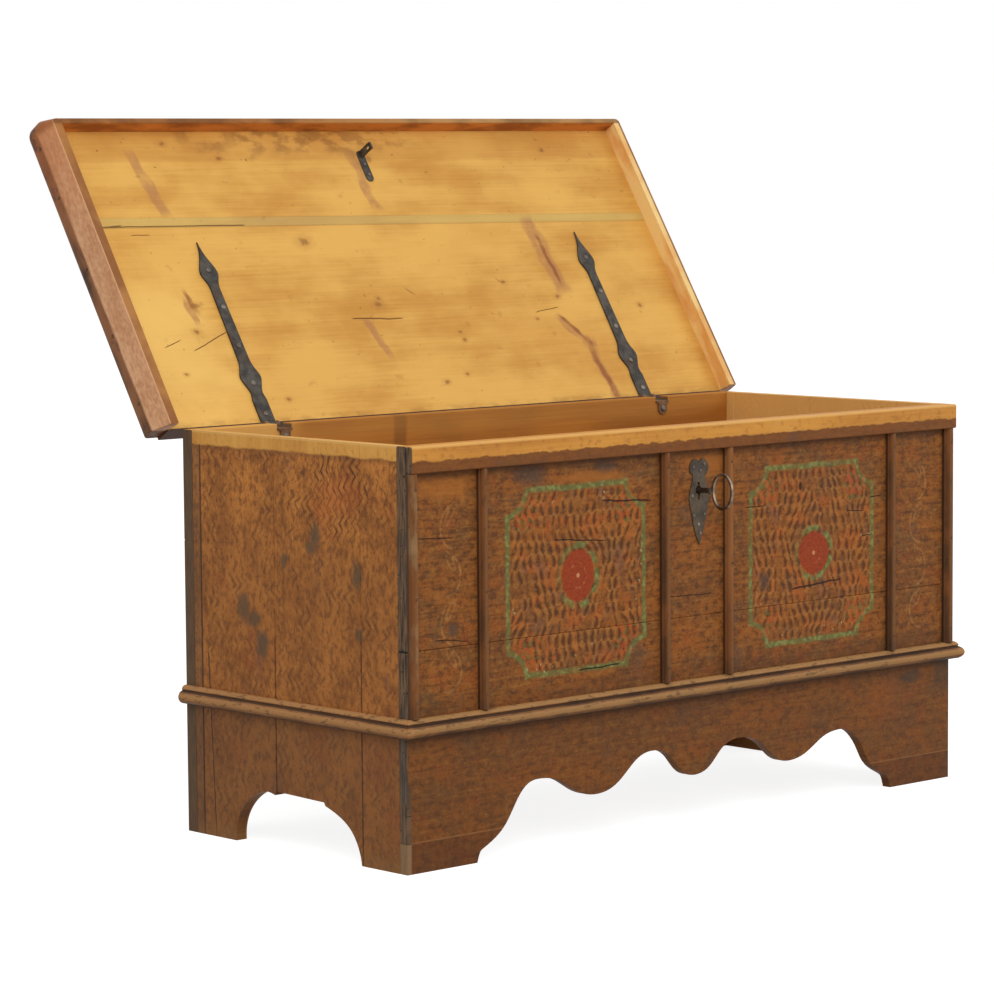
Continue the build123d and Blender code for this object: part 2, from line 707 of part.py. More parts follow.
# ---- key: a hollow shank with a collar, a flag bit and a round-wired oval bow ----
shank_end = 40
shank_start = bow_depth - key_reach - 1
collar_length, collar_proud = 4, 1.6
bit_depth, bit_width, bit_thickness = 32, 12, 3
ward_width, ward_height = 2.5, 4
bore_start, bore_clearance = drill_pin_inner - 2, 0.08
with BuildPart() as key:
    with BuildSketch(facing_front(shank_start)):
        with Locations((key_x, key_height)):
            Circle(shank_radius)
    extrude(amount=-(shank_end - shank_start))
    with BuildSketch(facing_front(shank_start)):
        with Locations((key_x, key_height)):
            Circle(shank_radius + collar_proud)
    extrude(amount=-collar_length)
    with BuildSketch(section(key_x - bit_thickness / 2)):
        with Locations((bit_depth, key_height - bit_radius / 2)):
            Rectangle(bit_width, bit_radius)
        with Locations((bit_depth, key_height - bit_radius + ward_height / 2)):
            Rectangle(ward_width, ward_height, mode=Mode.SUBTRACT)
    extrude(amount=bit_thickness)
    with BuildSketch(facing_front(bore_start)):
        with Locations((key_x, key_height)):
            Circle(drill_radius + bore_clearance)
    extrude(amount=-(shank_end - bore_start), mode=Mode.SUBTRACT)
    with BuildSketch(section(key_x - bow_wire / 2)):
        with Locations((bow_depth / 2 - key_reach, key_height)):
            Ellipse(bow_depth / 2, bow_height / 2)
            Ellipse(bow_depth / 2 - bow_wire, bow_height / 2 - bow_wire, mode=Mode.SUBTRACT)
    extrude(amount=bow_wire)
save(key, "key")

# ---- escutcheon: a cut sheet with a two-lobed head and a long tail, nailed over the keyhole ----
with BuildPart() as escutcheon:
    with BuildSketch(facing_front(0)):
        middle, crotch, tail = 1, 562, 436
        for side in (-1, 1):
            with BuildLine():
                Spline((middle, crotch), (middle + side * 11, 568), (middle + side * 20, 558),
                       (middle + side * 14, 544))
                Spline((middle + side * 14, 544), (middle + side * 14, 536), (middle + side * 21, 512),
                       (middle + side * 17, 487), (middle + side * 11, 462), (middle, tail))
                Line((middle, tail), (middle, crotch))
            make_face()
        add(keyhole(), mode=Mode.SUBTRACT)
    extrude(amount=escutcheon_thickness)
    drill(escutcheon_nail_spots, plate_nail_radius, plate_nail_length)
save(escutcheon, "escutcheon")

# ---- nails ----
strap_nail = make_nail(4.5, 2, strap_nail_radius, strap_nail_length)
plate_nail = make_nail(2.8, 1.6, plate_nail_radius, plate_nail_length)
tab_nail = make_nail(5, 3, plate_nail_radius, plate_nail_length)
brad = make_nail(2.2, 0.5, brad_radius, brad_length)
board_nail = make_nail(4, 1, back_nail_radius, back_nail_length)
cleat_nail = make_nail(3, 0.5, brad_radius, back_nail_length)
nail_group("strap_nails", strap_nail, strap_nail_spots)
nail_group("hasp_nails", plate_nail, catch_nail_spots)
nail_group("leaf_nails", tab_nail, tab_nail_spots)
nail_group("escutcheon_nails", plate_nail, escutcheon_nail_spots)
nail_group("lock_nails", plate_nail, lock_nail_spots)
nail_group("strip_nails", brad, strip_nail_spots)
nail_group("back_nails", board_nail, back_nail_spots)
nail_group("cleat_nails", cleat_nail, cleat_nail_spots)
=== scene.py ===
import json
from math import cos, hypot, pi, radians, sin

import bmesh
import bpy
from mathutils import Matrix, Vector


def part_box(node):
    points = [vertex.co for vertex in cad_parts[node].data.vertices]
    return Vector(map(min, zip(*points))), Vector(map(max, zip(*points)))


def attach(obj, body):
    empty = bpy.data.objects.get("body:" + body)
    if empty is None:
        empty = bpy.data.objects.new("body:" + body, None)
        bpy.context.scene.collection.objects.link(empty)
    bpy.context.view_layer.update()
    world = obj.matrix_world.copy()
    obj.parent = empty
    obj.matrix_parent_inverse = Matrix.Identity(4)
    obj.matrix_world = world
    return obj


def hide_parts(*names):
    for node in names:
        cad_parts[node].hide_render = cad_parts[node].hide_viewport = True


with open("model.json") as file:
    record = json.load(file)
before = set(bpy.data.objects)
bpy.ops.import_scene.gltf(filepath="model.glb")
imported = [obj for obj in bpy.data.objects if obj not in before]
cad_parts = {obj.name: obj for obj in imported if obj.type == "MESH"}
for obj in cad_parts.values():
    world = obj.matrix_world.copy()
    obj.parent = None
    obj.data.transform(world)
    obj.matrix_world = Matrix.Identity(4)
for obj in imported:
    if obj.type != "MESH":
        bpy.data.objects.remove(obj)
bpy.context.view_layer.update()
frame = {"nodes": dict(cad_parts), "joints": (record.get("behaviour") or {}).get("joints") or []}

# ---- Studio ----
# A plain pale floor that runs out to a white surround, with a large soft light over the front left,
# a weaker one to the right and an even light from all sides. The camera looks at the front and the
# left side from a little above the chest's rim.
FRONT_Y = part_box("front_upper_board")[0].y
BODY_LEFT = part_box("front_upper_board")[0].x
SENSOR_WIDTH = 36
FRAME_WIDTH_PX = 994
FOCAL_PX = 3711.67
camera_place = Vector((BODY_LEFT - 3.49812, FRONT_Y - 3.96864, 1.03811))
camera_yaw, camera_pitch, camera_roll = radians(42.808), radians(5.291), radians(-0.4456)

ahead = Vector((sin(camera_yaw) * cos(camera_pitch),
                cos(camera_yaw) * cos(camera_pitch),
                -sin(camera_pitch)))
level_right = Vector((cos(camera_yaw), -sin(camera_yaw), 0))
level_up = level_right.cross(ahead)
right = level_right * cos(camera_roll) + level_up * sin(camera_roll)
up = level_up * cos(camera_roll) - level_right * sin(camera_roll)

camera_data = bpy.data.cameras.new("camera")
camera_data.sensor_fit = "HORIZONTAL"
camera_data.sensor_width = SENSOR_WIDTH
camera_data.lens = SENSOR_WIDTH * FOCAL_PX / FRAME_WIDTH_PX
camera_data.clip_end = 100
camera = bpy.data.objects.new("camera", camera_data)
camera_turn = Matrix((right, up, -ahead)).transposed().to_4x4()
camera.matrix_world = Matrix.Translation(camera_place) @ camera_turn
bpy.context.scene.collection.objects.link(camera)
bpy.context.scene.camera = camera
bpy.context.scene.view_settings.view_transform = "Standard"


def area_light(name, place, target, size, power):
    """A square soft light that faces a target."""
    data = bpy.data.lights.new(name, "AREA")
    data.size = size
    data.energy = power
    lamp = bpy.data.objects.new(name, data)
    lamp.location = place
    lamp.rotation_euler = (Vector(target) - Vector(place)).to_track_quat("-Z", "Y").to_euler()
    bpy.context.scene.collection.objects.link(lamp)


area_light("key_light", place=(-2.6, -3.4, 3.4), target=(0, 0, 0.5), size=3.2, power=95)
area_light("fill_light", place=(3.2, -3.0, 2.2), target=(0, 0, 0.5), size=3.0, power=38)

# The surround looks white by itself, in metal too, and gives the chest less light than it shows.
SURROUND_LIGHT = 0.62
SURROUND_SHOWN = 1
world = bpy.data.worlds.new("surround")
bpy.context.scene.world = world
world.use_nodes = True
sky = world.node_tree.nodes["Background"]
sky.inputs["Color"].default_value = (1, 1, 1, 1)
paths = world.node_tree.nodes.new("ShaderNodeLightPath")
seen = world.node_tree.nodes.new("ShaderNodeMath")
seen.operation = "MAXIMUM"
mirrored = world.node_tree.nodes.new("ShaderNodeMath")
mirrored.operation = "MAXIMUM"
strength = world.node_tree.nodes.new("ShaderNodeMapRange")
strength.inputs["To Min"].default_value = SURROUND_LIGHT
strength.inputs["To Max"].default_value = SURROUND_SHOWN
world.node_tree.links.new(paths.outputs["Is Camera Ray"], seen.inputs[0])
world.node_tree.links.new(paths.outputs["Is Transmission Ray"], seen.inputs[1])
world.node_tree.links.new(seen.outputs[0], mirrored.inputs[0])
world.node_tree.links.new(paths.outputs["Is Glossy Ray"], mirrored.inputs[1])
world.node_tree.links.new(mirrored.outputs[0], strength.inputs["Value"])
world.node_tree.links.new(strength.outputs["Result"], sky.inputs["Strength"])


class Value:
    """The output of a shader node; arithmetic on it adds maths nodes."""

    def __init__(self, finish, socket):
        self.finish = finish
        self.socket = socket

    def math(self, operation, *others):
        return self.finish.node("ShaderNodeMath", {"operation": operation},
                                dict(enumerate((self, *others))))

    def swapped(self, operation, other):
        return self.finish.node("ShaderNodeMath", {"operation": operation}, {0: other, 1: self})

    def __add__(self, other):
        return self.math("ADD", other)

    def __radd__(self, other):
        return self.math("ADD", other)

    def __sub__(self, other):
        return self.math("SUBTRACT", other)

    def __rsub__(self, other):
        return self.swapped("SUBTRACT", other)

    def __mul__(self, other):
        return self.math("MULTIPLY", other)

    def __rmul__(self, other):
        return self.math("MULTIPLY", other)

    def __truediv__(self, other):
        return self.math("DIVIDE", other)

    def __pow__(self, other):
        return self.math("POWER", other)

    def __abs__(self):
        return self.math("ABSOLUTE")

    def most(self, other):
        return self.math("MAXIMUM", other)

    def least(self, other):
        return self.math("MINIMUM", other)

    def sine(self):
        return self.math("SINE")

    def fraction(self):
        return self.math("FRACT")

    def whole(self):
        return self.math("FLOOR")

    def root(self):
        return self.math("SQRT")

    def rise(self, low, high):
        """0 below low and 1 above high, with a smooth step between; low may be the larger."""
        return self.finish.node("ShaderNodeMapRange", {"interpolation_type": "SMOOTHSTEP"},
                                {"Value": self, "From Min": low, "From Max": high})

    def output(self, name):
        return Value(self.finish, self.socket.node.outputs[name])


# The Mix node has sockets for every kind of data; these are the ones for a colour.
MIX_FACTOR, MIX_LOW, MIX_HIGH = 0, 6, 7
MIXED_COLOUR = 2


class Finish:
    """A material under construction, with the object's coordinates in metres as x, y and z."""

    def __init__(self, name, gloss=0.15):
        self.material = bpy.data.materials.new(name)
        self.material.use_nodes = True
        self.tree = self.material.node_tree
        self.shader = self.tree.nodes["Principled BSDF"]
        self.shader.inputs["Specular IOR Level"].default_value = gloss
        place = self.node("ShaderNodeTexCoord", output="Object")
        self.x = self.node("ShaderNodeSeparateXYZ", inputs={"Vector": place})
        self.y = self.x.output("Y")
        self.z = self.x.output("Z")

    def node(self, kind, settings=None, inputs=None, output=0):
        made = self.tree.nodes.new(kind)
        for setting, value in (settings or {}).items():
            setattr(made, setting, value)
        for key, value in (inputs or {}).items():
            if isinstance(value, Value):
                self.tree.links.new(value.socket, made.inputs[key])
            else:
                made.inputs[key].default_value = value
        return Value(self, made.outputs[output])

    def noise(self, a, b, c=0.0, detail=3, roughness=0.55, distortion=0):
        """Noise about 0.5 over three values; a feature is about one unit long."""
        place = self.node("ShaderNodeCombineXYZ", inputs={0: a, 1: b, 2: c})
        return self.node("ShaderNodeTexNoise", inputs={
            "Vector": place, "Scale": 1, "Detail": detail, "Roughness": roughness,
            "Distortion": distortion})

    def mix(self, factor, low, high):
        """One colour turning into another as factor goes from 0 to 1."""
        return self.node("ShaderNodeMix", {"data_type": "RGBA"},
                         {MIX_FACTOR: factor, MIX_LOW: low, MIX_HIGH: high}, output=MIXED_COLOUR)

    def ring(self, across, up, centre, radii):
        """The distance from a centre, as a share of an oval's radii."""
        return (((across - centre[0]) / radii[0]) ** 2 + ((up - centre[1]) / radii[1]) ** 2).root()

    def close(self, colour, roughness, height, relief):
        """Connect colour, roughness and height; relief is the depth of the height in metres."""
        bump = self.node("ShaderNodeBump",
                         inputs={"Height": height, "Distance": relief, "Strength": 1})
        for name, value in (("Base Color", colour), ("Roughness", roughness), ("Normal", bump)):
            if isinstance(value, Value):
                self.tree.links.new(value.socket, self.shader.inputs[name])
            else:
                self.shader.inputs[name].default_value = value
        return self.material


# The floor takes the chest's shadow and, seen from the camera, glows up to the surround's white.
FLOOR_SIZE = 40
FLOOR_GREY = (0.42, 0.42, 0.42, 1)
FLOOR_GLOW = (0.87, 0.87, 0.87, 1)
NO_GLOW = (0, 0, 0, 1)
bpy.ops.object.select_all(action="DESELECT")
bpy.ops.mesh.primitive_plane_add(size=FLOOR_SIZE, location=(0, 0, 0))
floor = bpy.context.active_object
floor.name = "floor"
ground = Finish("floor_paper", 0)
ground.shader.inputs["Base Color"].default_value = FLOOR_GREY
ground.shader.inputs["Roughness"].default_value = 0.9
ground.shader.inputs["Emission Strength"].default_value = 1
rays = ground.node("ShaderNodeLightPath")
shown = rays.most(rays.output("Is Glossy Ray")).most(rays.output("Is Transmission Ray"))
ground.tree.links.new(ground.mix(shown, NO_GLOW, FLOOR_GLOW).socket,
                      ground.shader.inputs["Emission Color"])
floor.data.materials.append(ground.material)

# ---- Carcase front ----
# Two wide softwood boards over a sawn apron with let-in foot pieces, under a planed top rail. They
# are painted brown and combed while wet into rows of drops, with a green notched frame and a red
# oval in each of the two large panels. The ends of the boards are bare and grey.
nodes = frame["nodes"]


def paint(red, green, blue):
    """A colour given in display values from 0 to 255, as the shader needs it."""
    def linear(value):
        value = value / 255
        return value / 12.92 if value <= 0.04045 else ((value + 0.055) / 1.055) ** 2.4
    return (linear(red), linear(green), linear(blue), 1)


PAINT_BROWN = paint(122, 74, 33)
PAINT_ORANGE = paint(150, 87, 34)
DARK_PAINT_AND_SHADE = paint(78, 47, 24)
OCHRE = paint(160, 106, 48)
SMUDGE = paint(94, 72, 54)
STROKE = paint(72, 39, 15)
END_GRAIN = paint(124, 96, 70)
GRIME_AND_SHADE = paint(50, 38, 29)
COLUMN_PITCH = 0.015
ROW_PITCH = 0.0198
SCROLL_PITCH = 0.07
BOARD_JOINT_Z = 0.3252
APRON_TOP = 0.204
FOOT_JOINT_Z = 0.0455
PAINT_TOP = 0.6
# Each frame: centre across and up, half width, half height, the oval's centre and its radii.
PANEL_FRAMES = ((-0.2605, 0.405, 0.1465, 0.143, (-0.258, 0.409), (0.033, 0.038)),
                (0.2605, 0.403, 0.1475, 0.144, (0.264, 0.402), (0.034, 0.033)))
# Each crack: start across and up, end across and up, half width.
FRONT_CRACKS = ((-0.21, 0.518, -0.1, 0.511, 0.0016), (-0.31, 0.466, -0.2, 0.457, 0.0012),
                (0.105, 0.484, 0.152, 0.485, 0.001), (0.21, 0.347, 0.33, 0.355, 0.0018),
                (0.342, 0.462, 0.386, 0.462, 0.0009), (0.376, 0.419, 0.404, 0.421, 0.001),
                (0.396, 0.481, 0.426, 0.483, 0.0011), (-0.546, 0.338, -0.48, 0.331, 0.0009),
                (-0.09, 0.36, 0.03, 0.357, 0.0008), (-0.58, 0.488, -0.51, 0.484, 0.001),
                (-0.26, 0.2655, -0.17, 0.2665, 0.0013))


def softwood(finish, along, across, pale, dark):
    """Planed softwood: long fine fibres, broad bands of denser growth and a slow change of tone."""
    fibres = finish.noise(along * 7, across * 260, detail=3)
    bands = finish.noise(along * 1.3, across * 24, detail=2, distortion=0.4)
    clouds = finish.noise(along * 3.5, across * 6, detail=2)
    tone = (fibres * 0.3 + bands * 0.45 + clouds * 0.35).rise(0.34, 0.78)
    return finish.mix(tone, pale, dark), fibres * 0.4 + bands * 0.6


def line_between(across, up, start, end, half, wander):
    """A thin wavering line from start to end, fading at both ends."""
    slope = (end[1] - start[1]) / (end[0] - start[0])
    off = abs(up - start[1] - (across - start[0]) * slope + wander)
    past_start = (across - start[0]).rise(-0.002, 0.008)
    short_of_end = (across - end[0]).rise(0.002, -0.008)
    return off.rise(half, half * 0.35) * past_start * short_of_end


def widest(masks):
    """The strongest of several masks at each place."""
    joined = masks[0]
    for mask in masks[1:]:
        joined = joined.most(mask)
    return joined


def front_paint():
    """The combed and painted front, the bare rim over it and the grey ends of its boards."""
    f = Finish("front_paint")
    x, z = f.x, f.z
    depth = f.y - FRONT_Y
    wander = f.noise(x * 30, z * 30, detail=2) - 0.5
    patches = f.noise(x * 9, z * 15, 3, detail=5, roughness=0.6)
    mottle = f.noise(x * 66, z * 88, 6, detail=3, roughness=0.6)
    fine = f.noise(x * 190, z * 250, 9, detail=2)
    grain = f.noise(x * 12, z * 210, 4, detail=3)
    coat = f.mix(patches.rise(0.36, 0.66), PAINT_BROWN, PAINT_ORANGE)
    coat = f.mix(mottle.rise(0.5, 0.62) * 0.62, coat, DARK_PAINT_AND_SHADE)
    coat = f.mix(mottle.rise(0.46, 0.34) * 0.6, coat, OCHRE)
    coat = f.mix(grain.rise(0.52, 0.68) * 0.5, coat, DARK_PAINT_AND_SHADE)
    coat = f.mix(grain.rise(0.46, 0.32) * 0.35, coat, OCHRE)
    reddish = f.noise(x * 24, z * 30, 33, detail=3)
    coat = f.mix(reddish.rise(0.55, 0.66) * 0.35, coat, paint(158, 78, 32))
    coat = f.mix(reddish.rise(0.44, 0.34) * 0.35, coat, paint(112, 84, 48))
    smudges = f.noise(x * 17, z * 13, 12, detail=4).rise(0.58, 0.7)
    coat = f.mix(smudges * 0.45, coat, SMUDGE)

    lines, insides, rings, ovals, flowers, leaves, dots, hearts = [], [], [], [], [], [], [], []
    leafy = f.noise(x * 100, z * 100, 13, detail=1)
    dashes = f.noise(x * 36, z * 36, 23, detail=1)
    dotted = f.noise(x * 150, z * 150, 17, detail=0)
    sprinkled = f.noise(x * 14, z * 14, 27, detail=1).rise(0.46, 0.6)
    for centre_x, centre_z, half_wide, half_high, oval, radii in PANEL_FRAMES:
        across = abs(x - centre_x + wander * 0.007)
        upward = abs(z - centre_z + wander * 0.006)
        notch = ((across - half_wide) ** 2 + (upward - half_high) ** 2).root()
        edge = (across - half_wide).most(upward - half_high).most(0.038 - notch)
        lines.append(edge.rise(-0.011, -0.007) * edge.rise(0.0015, -0.003))
        insides.append(edge.rise(-0.008, -0.014))
        ring = f.ring(x, z, oval, radii) + wander * 0.12
        faded_left = (x - oval[0] + 0.026).rise(-0.012, 0.02) * 0.65 + 0.35
        dashed = dashes.rise(0.4, 0.52) * faded_left
        rings.append(ring.rise(1.04, 1.12) * ring.rise(1.42, 1.26) * dashed)
        ovals.append(ring.rise(1.05, 0.98))
        hearts.append(f.ring(x, z, oval, (0.0035, 0.0035)).rise(1.3, 0.6))
        hearts.append(abs(ring - 0.5).rise(0.07, 0.02) * dotted.rise(0.56, 0.68) * 0.35)
        corner = ((across - half_wide + 0.045) ** 2 + (upward - half_high + 0.042) ** 2).root()
        corner = corner + wander * 0.02
        flowers.append(corner.rise(0.03, 0.02) * leafy.rise(0.5, 0.6))
        leaves.append(corner.rise(0.034, 0.022) * leafy.rise(0.42, 0.34))
        beside_frame = edge.rise(-0.055, -0.018) * edge.rise(0, -0.01)
        dots.append(beside_frame * dotted.rise(0.72, 0.8) * sprinkled)
    inside = widest(insides)

    row = z / ROW_PITCH + f.noise(x * 10, z * 6, 1, detail=1) * 1.2
    lean = (f.noise(x * 11, z * 16, 21, detail=1) - 0.5) * 3.6
    drop_up = row.fraction()
    column = x / COLUMN_PITCH + lean * (drop_up - 0.5) + wander * 1.5 + row.whole() * 0.37
    drop_across = abs(column.fraction() - 0.5)
    belly = drop_up * (1 - drop_up) * (1.3 - drop_up * 0.8)
    ragged = (fine - 0.5) * 0.3 + (mottle - 0.5) * 0.3
    drop = (drop_across - belly * 1.02 + ragged).rise(0.09, -0.09)
    presence = f.noise(x * 46, z * 34, 4, detail=3).rise(0.36, 0.54)
    strokes = drop * presence * inside
    petals = (drop_across - belly * 1.25 + (mottle - 0.5) * 0.4).rise(0.12, 0.26) * inside
    coat = f.mix(inside * 0.22, coat, paint(158, 92, 38))
    coat = f.mix(petals * presence * 0.55, coat, paint(178, 118, 58))
    coat = f.mix(inside * reddish.rise(0.5, 0.6) * 0.3, coat, paint(190, 98, 40))
    hues = f.noise(x * 26, z * 22, 41, detail=3)
    coat = f.mix(inside * hues.rise(0.56, 0.66) * 0.4, coat, paint(116, 82, 66))
    coat = f.mix(inside * hues.rise(0.44, 0.35) * 0.3, coat, paint(192, 118, 46))
    coat = f.mix(strokes * 0.8, coat, STROKE)
    flecks = fine.rise(0.56, 0.68) * 0.5
    coat = f.mix(flecks, coat, STROKE)
    coat = f.mix(fine.rise(0.42, 0.3) * 0.45, coat, paint(166, 112, 62))

    scrolls = []
    for scroll_x, swing in ((-0.515, 1), (0.516, -1)):
        for turn in range(4):
            way = swing * (-1) ** turn
            centre = (scroll_x - 0.006 * way, 0.29 + SCROLL_PITCH * turn)
            ring = f.ring(x, z, centre, (0.028, 0.034)) + wander * 0.16
            open_side = ((x - scroll_x) * way).rise(-0.02, 0.004)
            scrolls.append(abs(ring - 0.9).rise(0.085, 0.03) * open_side)
            leaf_z = 0.31 + SCROLL_PITCH * turn
            leaf_centre = (scroll_x + leaf_z * 0.5 * way, leaf_z)
            leaf = f.ring(x + z * 0.5 * way, z, leaf_centre, (0.007, 0.017))
            scrolls.append(abs(leaf - 0.8).rise(0.3, 0.1) * 0.8)
    faint = mottle.rise(0.62, 0.42) * 0.35 + 0.15
    coat = f.mix(widest(scrolls) * faint, coat, paint(176, 126, 72))
    warm = f.ring(x, z, (-0.53, 0.56), (0.07, 0.022))
    warm = warm.least(f.ring(x, z, (0.02, 0.56), (0.06, 0.02)))
    warm = warm.least(f.ring(x, z, (-0.235, 0.555), (0.075, 0.012)))
    coat = f.mix((warm + wander).rise(1.2, 0.4) * 0.6, coat, paint(176, 106, 40))

    chipped = fine.rise(0.68, 0.54) * f.noise(x * 17, z * 17, 15, detail=2).rise(0.3, 0.5)
    green = f.mix(leafy.rise(0.42, 0.7), paint(102, 106, 56), paint(134, 148, 84))
    coat = f.mix(widest(lines) * (chipped * 0.4 + 0.42), coat, green)
    coat = f.mix(widest(rings) * 0.85, coat, green)
    red = f.mix(fine.rise(0.4, 0.75), paint(156, 62, 27), paint(134, 48, 22))
    coat = f.mix(widest(ovals) * 0.94, coat, red)
    coat = f.mix(widest(flowers) * 0.58, coat, paint(178, 80, 34))
    coat = f.mix(widest(leaves) * 0.55, coat, paint(98, 102, 50))
    coat = f.mix(widest(dots) * 0.8, coat, paint(178, 172, 118))
    coat = f.mix(widest(hearts) * 0.8, coat, paint(212, 150, 100))

    cracks = widest([line_between(x, z, (x0, z0), (x1, z1), half, wander * 0.005)
                     for x0, z0, x1, z1, half in FRONT_CRACKS])
    knot_hole = f.ring(x, z, (0.233, 0.51), (0.0035, 0.007)).rise(1.2, 0.7)
    opened = cracks.most(knot_hole)
    coat = f.mix(opened * 0.9, coat, paint(34, 20, 14))
    soot = f.ring(x, z, (-0.355, 0.568), (0.04, 0.02))
    soot = soot.least(f.ring(x, z, (-0.2, 0.572), (0.03, 0.014)))
    soot = soot.least(f.ring(x, z, (0.15, 0.365), (0.012, 0.016)))
    soot = soot.least(f.ring(x, z, (-0.51, 0.35), (0.014, 0.012)))
    coat = f.mix((soot + wander * 0.8).rise(1.2, 0.4) * 0.62, coat, paint(62, 57, 52))
    # Painted shade: the boards darken in a band just under the top rail, and the rail's own paint
    # above it is darker too.
    coat = f.mix(z.rise(0.566, 0.579) * 0.5, coat, DARK_PAINT_AND_SHADE)
    coat = f.mix(z.rise(0.262, 0.238) * z.rise(0.2, 0.228) * 0.35, coat, DARK_PAINT_AND_SHADE)

    # The apron is painted darker overall, and its top, just under the base moulding, is darkened as
    # a painted shadow.
    apron = z.rise(APRON_TOP, APRON_TOP - 0.006)
    coat = f.mix(apron * 0.4, coat, paint(94, 58, 31))
    coat = f.mix(apron * z.rise(0.184, 0.2) * 0.55, coat, DARK_PAINT_AND_SHADE)
    damp = ((x - 0.552) + wander * 0.03).rise(0, 0.016) * z.rise(0.13, 0.17) * apron
    damp = damp.most((f.ring(x, z, (0.50, 0.178), (0.03, 0.014)) + wander).rise(1.2, 0.4))
    coat = f.mix(damp * 0.6, coat, paint(62, 56, 44))
    glow = (f.ring(x, z, (0.44, 0.15), (0.06, 0.03)) + wander * 1.2).rise(1.3, 0.3)
    coat = f.mix(glow * apron * 0.35, coat, paint(146, 80, 36))
    outer = abs(x).rise(0.4, 0.41)
    coat = f.mix(z.rise(0.046, 0.044) * outer * 0.35, coat, paint(72, 38, 24))
    foot_joint = abs(z - FOOT_JOINT_Z).rise(0.0014, 0.0005) * outer
    coat = f.mix(foot_joint * 0.5, coat, paint(170, 120, 76))

    bare, bare_height = softwood(f, x, z, paint(222, 156, 68), paint(188, 122, 52))
    rail_face = depth.rise(-0.003, -0.005)
    rim_line = z + wander * 0.011 + (mottle - 0.5) * 0.007
    bare_mask = rim_line.rise(PAINT_TOP - 0.0015, PAINT_TOP + 0.0015)
    coat = f.mix(rail_face * 0.4, coat, paint(144, 86, 40))
    coat = f.mix(rail_face * smudges * 0.5, coat, paint(98, 68, 54))
    # Painted shadow: a dark line along the top rail's lower edge, in the dirt colour.
    coat = f.mix(z.rise(0.5835, 0.5812) * rail_face * 0.85, coat, GRIME_AND_SHADE)
    bare = f.mix(patches.rise(0.5, 0.66) * 0.35, bare, paint(222, 160, 82))
    bare = f.mix(mottle.rise(0.5, 0.68) * 0.4, bare, paint(150, 92, 46))
    colour = f.mix(bare_mask, coat, bare)
    # Painted highlight: a pale line along the top arris of the rim.
    top_arris_highlight = z.rise(0.6178, 0.6192) * depth.rise(0.002, -0.002)
    colour = f.mix(top_arris_highlight * 0.7, colour, paint(232, 178, 102))
    inside_pine, _ = softwood(f, x, z, paint(186, 116, 46), paint(144, 84, 32))
    colour = f.mix(depth.rise(0.017, 0.0195), colour, inside_pine)

    worn_corner = 0.0016 + z.rise(0.16, 0.08) * 0.006
    end = (x - BODY_LEFT - worn_corner + wander * 0.002).rise(0.001, -0.0004)
    end = end.most(x.rise(-BODY_LEFT - 0.0016, -BODY_LEFT - 0.0004))
    end_rings = f.noise(f.y * 300, z * 24, 3, detail=3)
    grey = f.mix(end_rings.rise(0.3, 0.7), END_GRAIN, GRIME_AND_SHADE)
    bluish = f.noise(1.5, z * 9, 7, detail=3).rise(0.5, 0.65)
    grey = f.mix(bluish * 0.4, grey, paint(82, 76, 68))
    holes = f.noise(f.y * 130, z * 130, 7, detail=1).rise(0.68, 0.74)
    grey = f.mix(holes, grey, paint(24, 20, 18))
    foot_grain = f.mix(end_rings, paint(160, 126, 88), END_GRAIN)
    grey = f.mix(z.rise(0.046, 0.043) * 0.9, grey, foot_grain)
    grey = f.mix(abs(z - BOARD_JOINT_Z).rise(0.002, 0.001), grey, paint(20, 17, 15))
    colour = f.mix(end, colour, grey)
    rubbed = f.noise(x * 40, z * 40, 11, detail=3).rise(0.5, 0.62)
    arris = abs(x - BODY_LEFT).rise(0.004, 0.0015) * (1 - end) * (1 - depth.rise(0.01, 0.015))
    colour = f.mix(arris * rubbed * 0.6, colour, paint(164, 112, 66))
    height = fine * 0.3 + mottle * 0.3 - strokes * 0.3 - opened * 1.2 + bare_height * 0.2
    return f.close(colour, patches * 0.25 + 0.45, height, 0.0012)


def dress(material, *names):
    """Give CAD nodes their finish."""
    for name in names:
        nodes[name].data.materials.clear()
        nodes[name].data.materials.append(material)


MERGE_DISTANCE = 1e-6
FLAT_ANGLE = radians(0.5)
SHARP_ANGLE = radians(28)
SMOOTH_ANGLE = radians(50)
EASE_SEGMENTS = 2


def sharp_runs(shape, smallest):
    """The sharp edges that join into outlines longer than smallest, so not those of nail holes."""
    sharp = {edge for edge in shape.edges
             if len(edge.link_faces) == 2 and edge.calc_face_angle(0) > SHARP_ANGLE}
    met, chosen = set(), []
    for first in shape.edges:
        if first not in sharp or first in met:
            continue
        met.add(first)
        run, waiting = [], [first]
        while waiting:
            edge = waiting.pop()
            run.append(edge)
            for corner in edge.verts:
                for follower in corner.link_edges:
                    if follower in sharp and follower not in met:
                        met.add(follower)
                        waiting.append(follower)
        corners = [corner.co for edge in run for corner in edge.verts]
        spans = [max(c[i] for c in corners) - min(c[i] for c in corners) for i in range(3)]
        if max(spans) > smallest:
            chosen += run
    return chosen


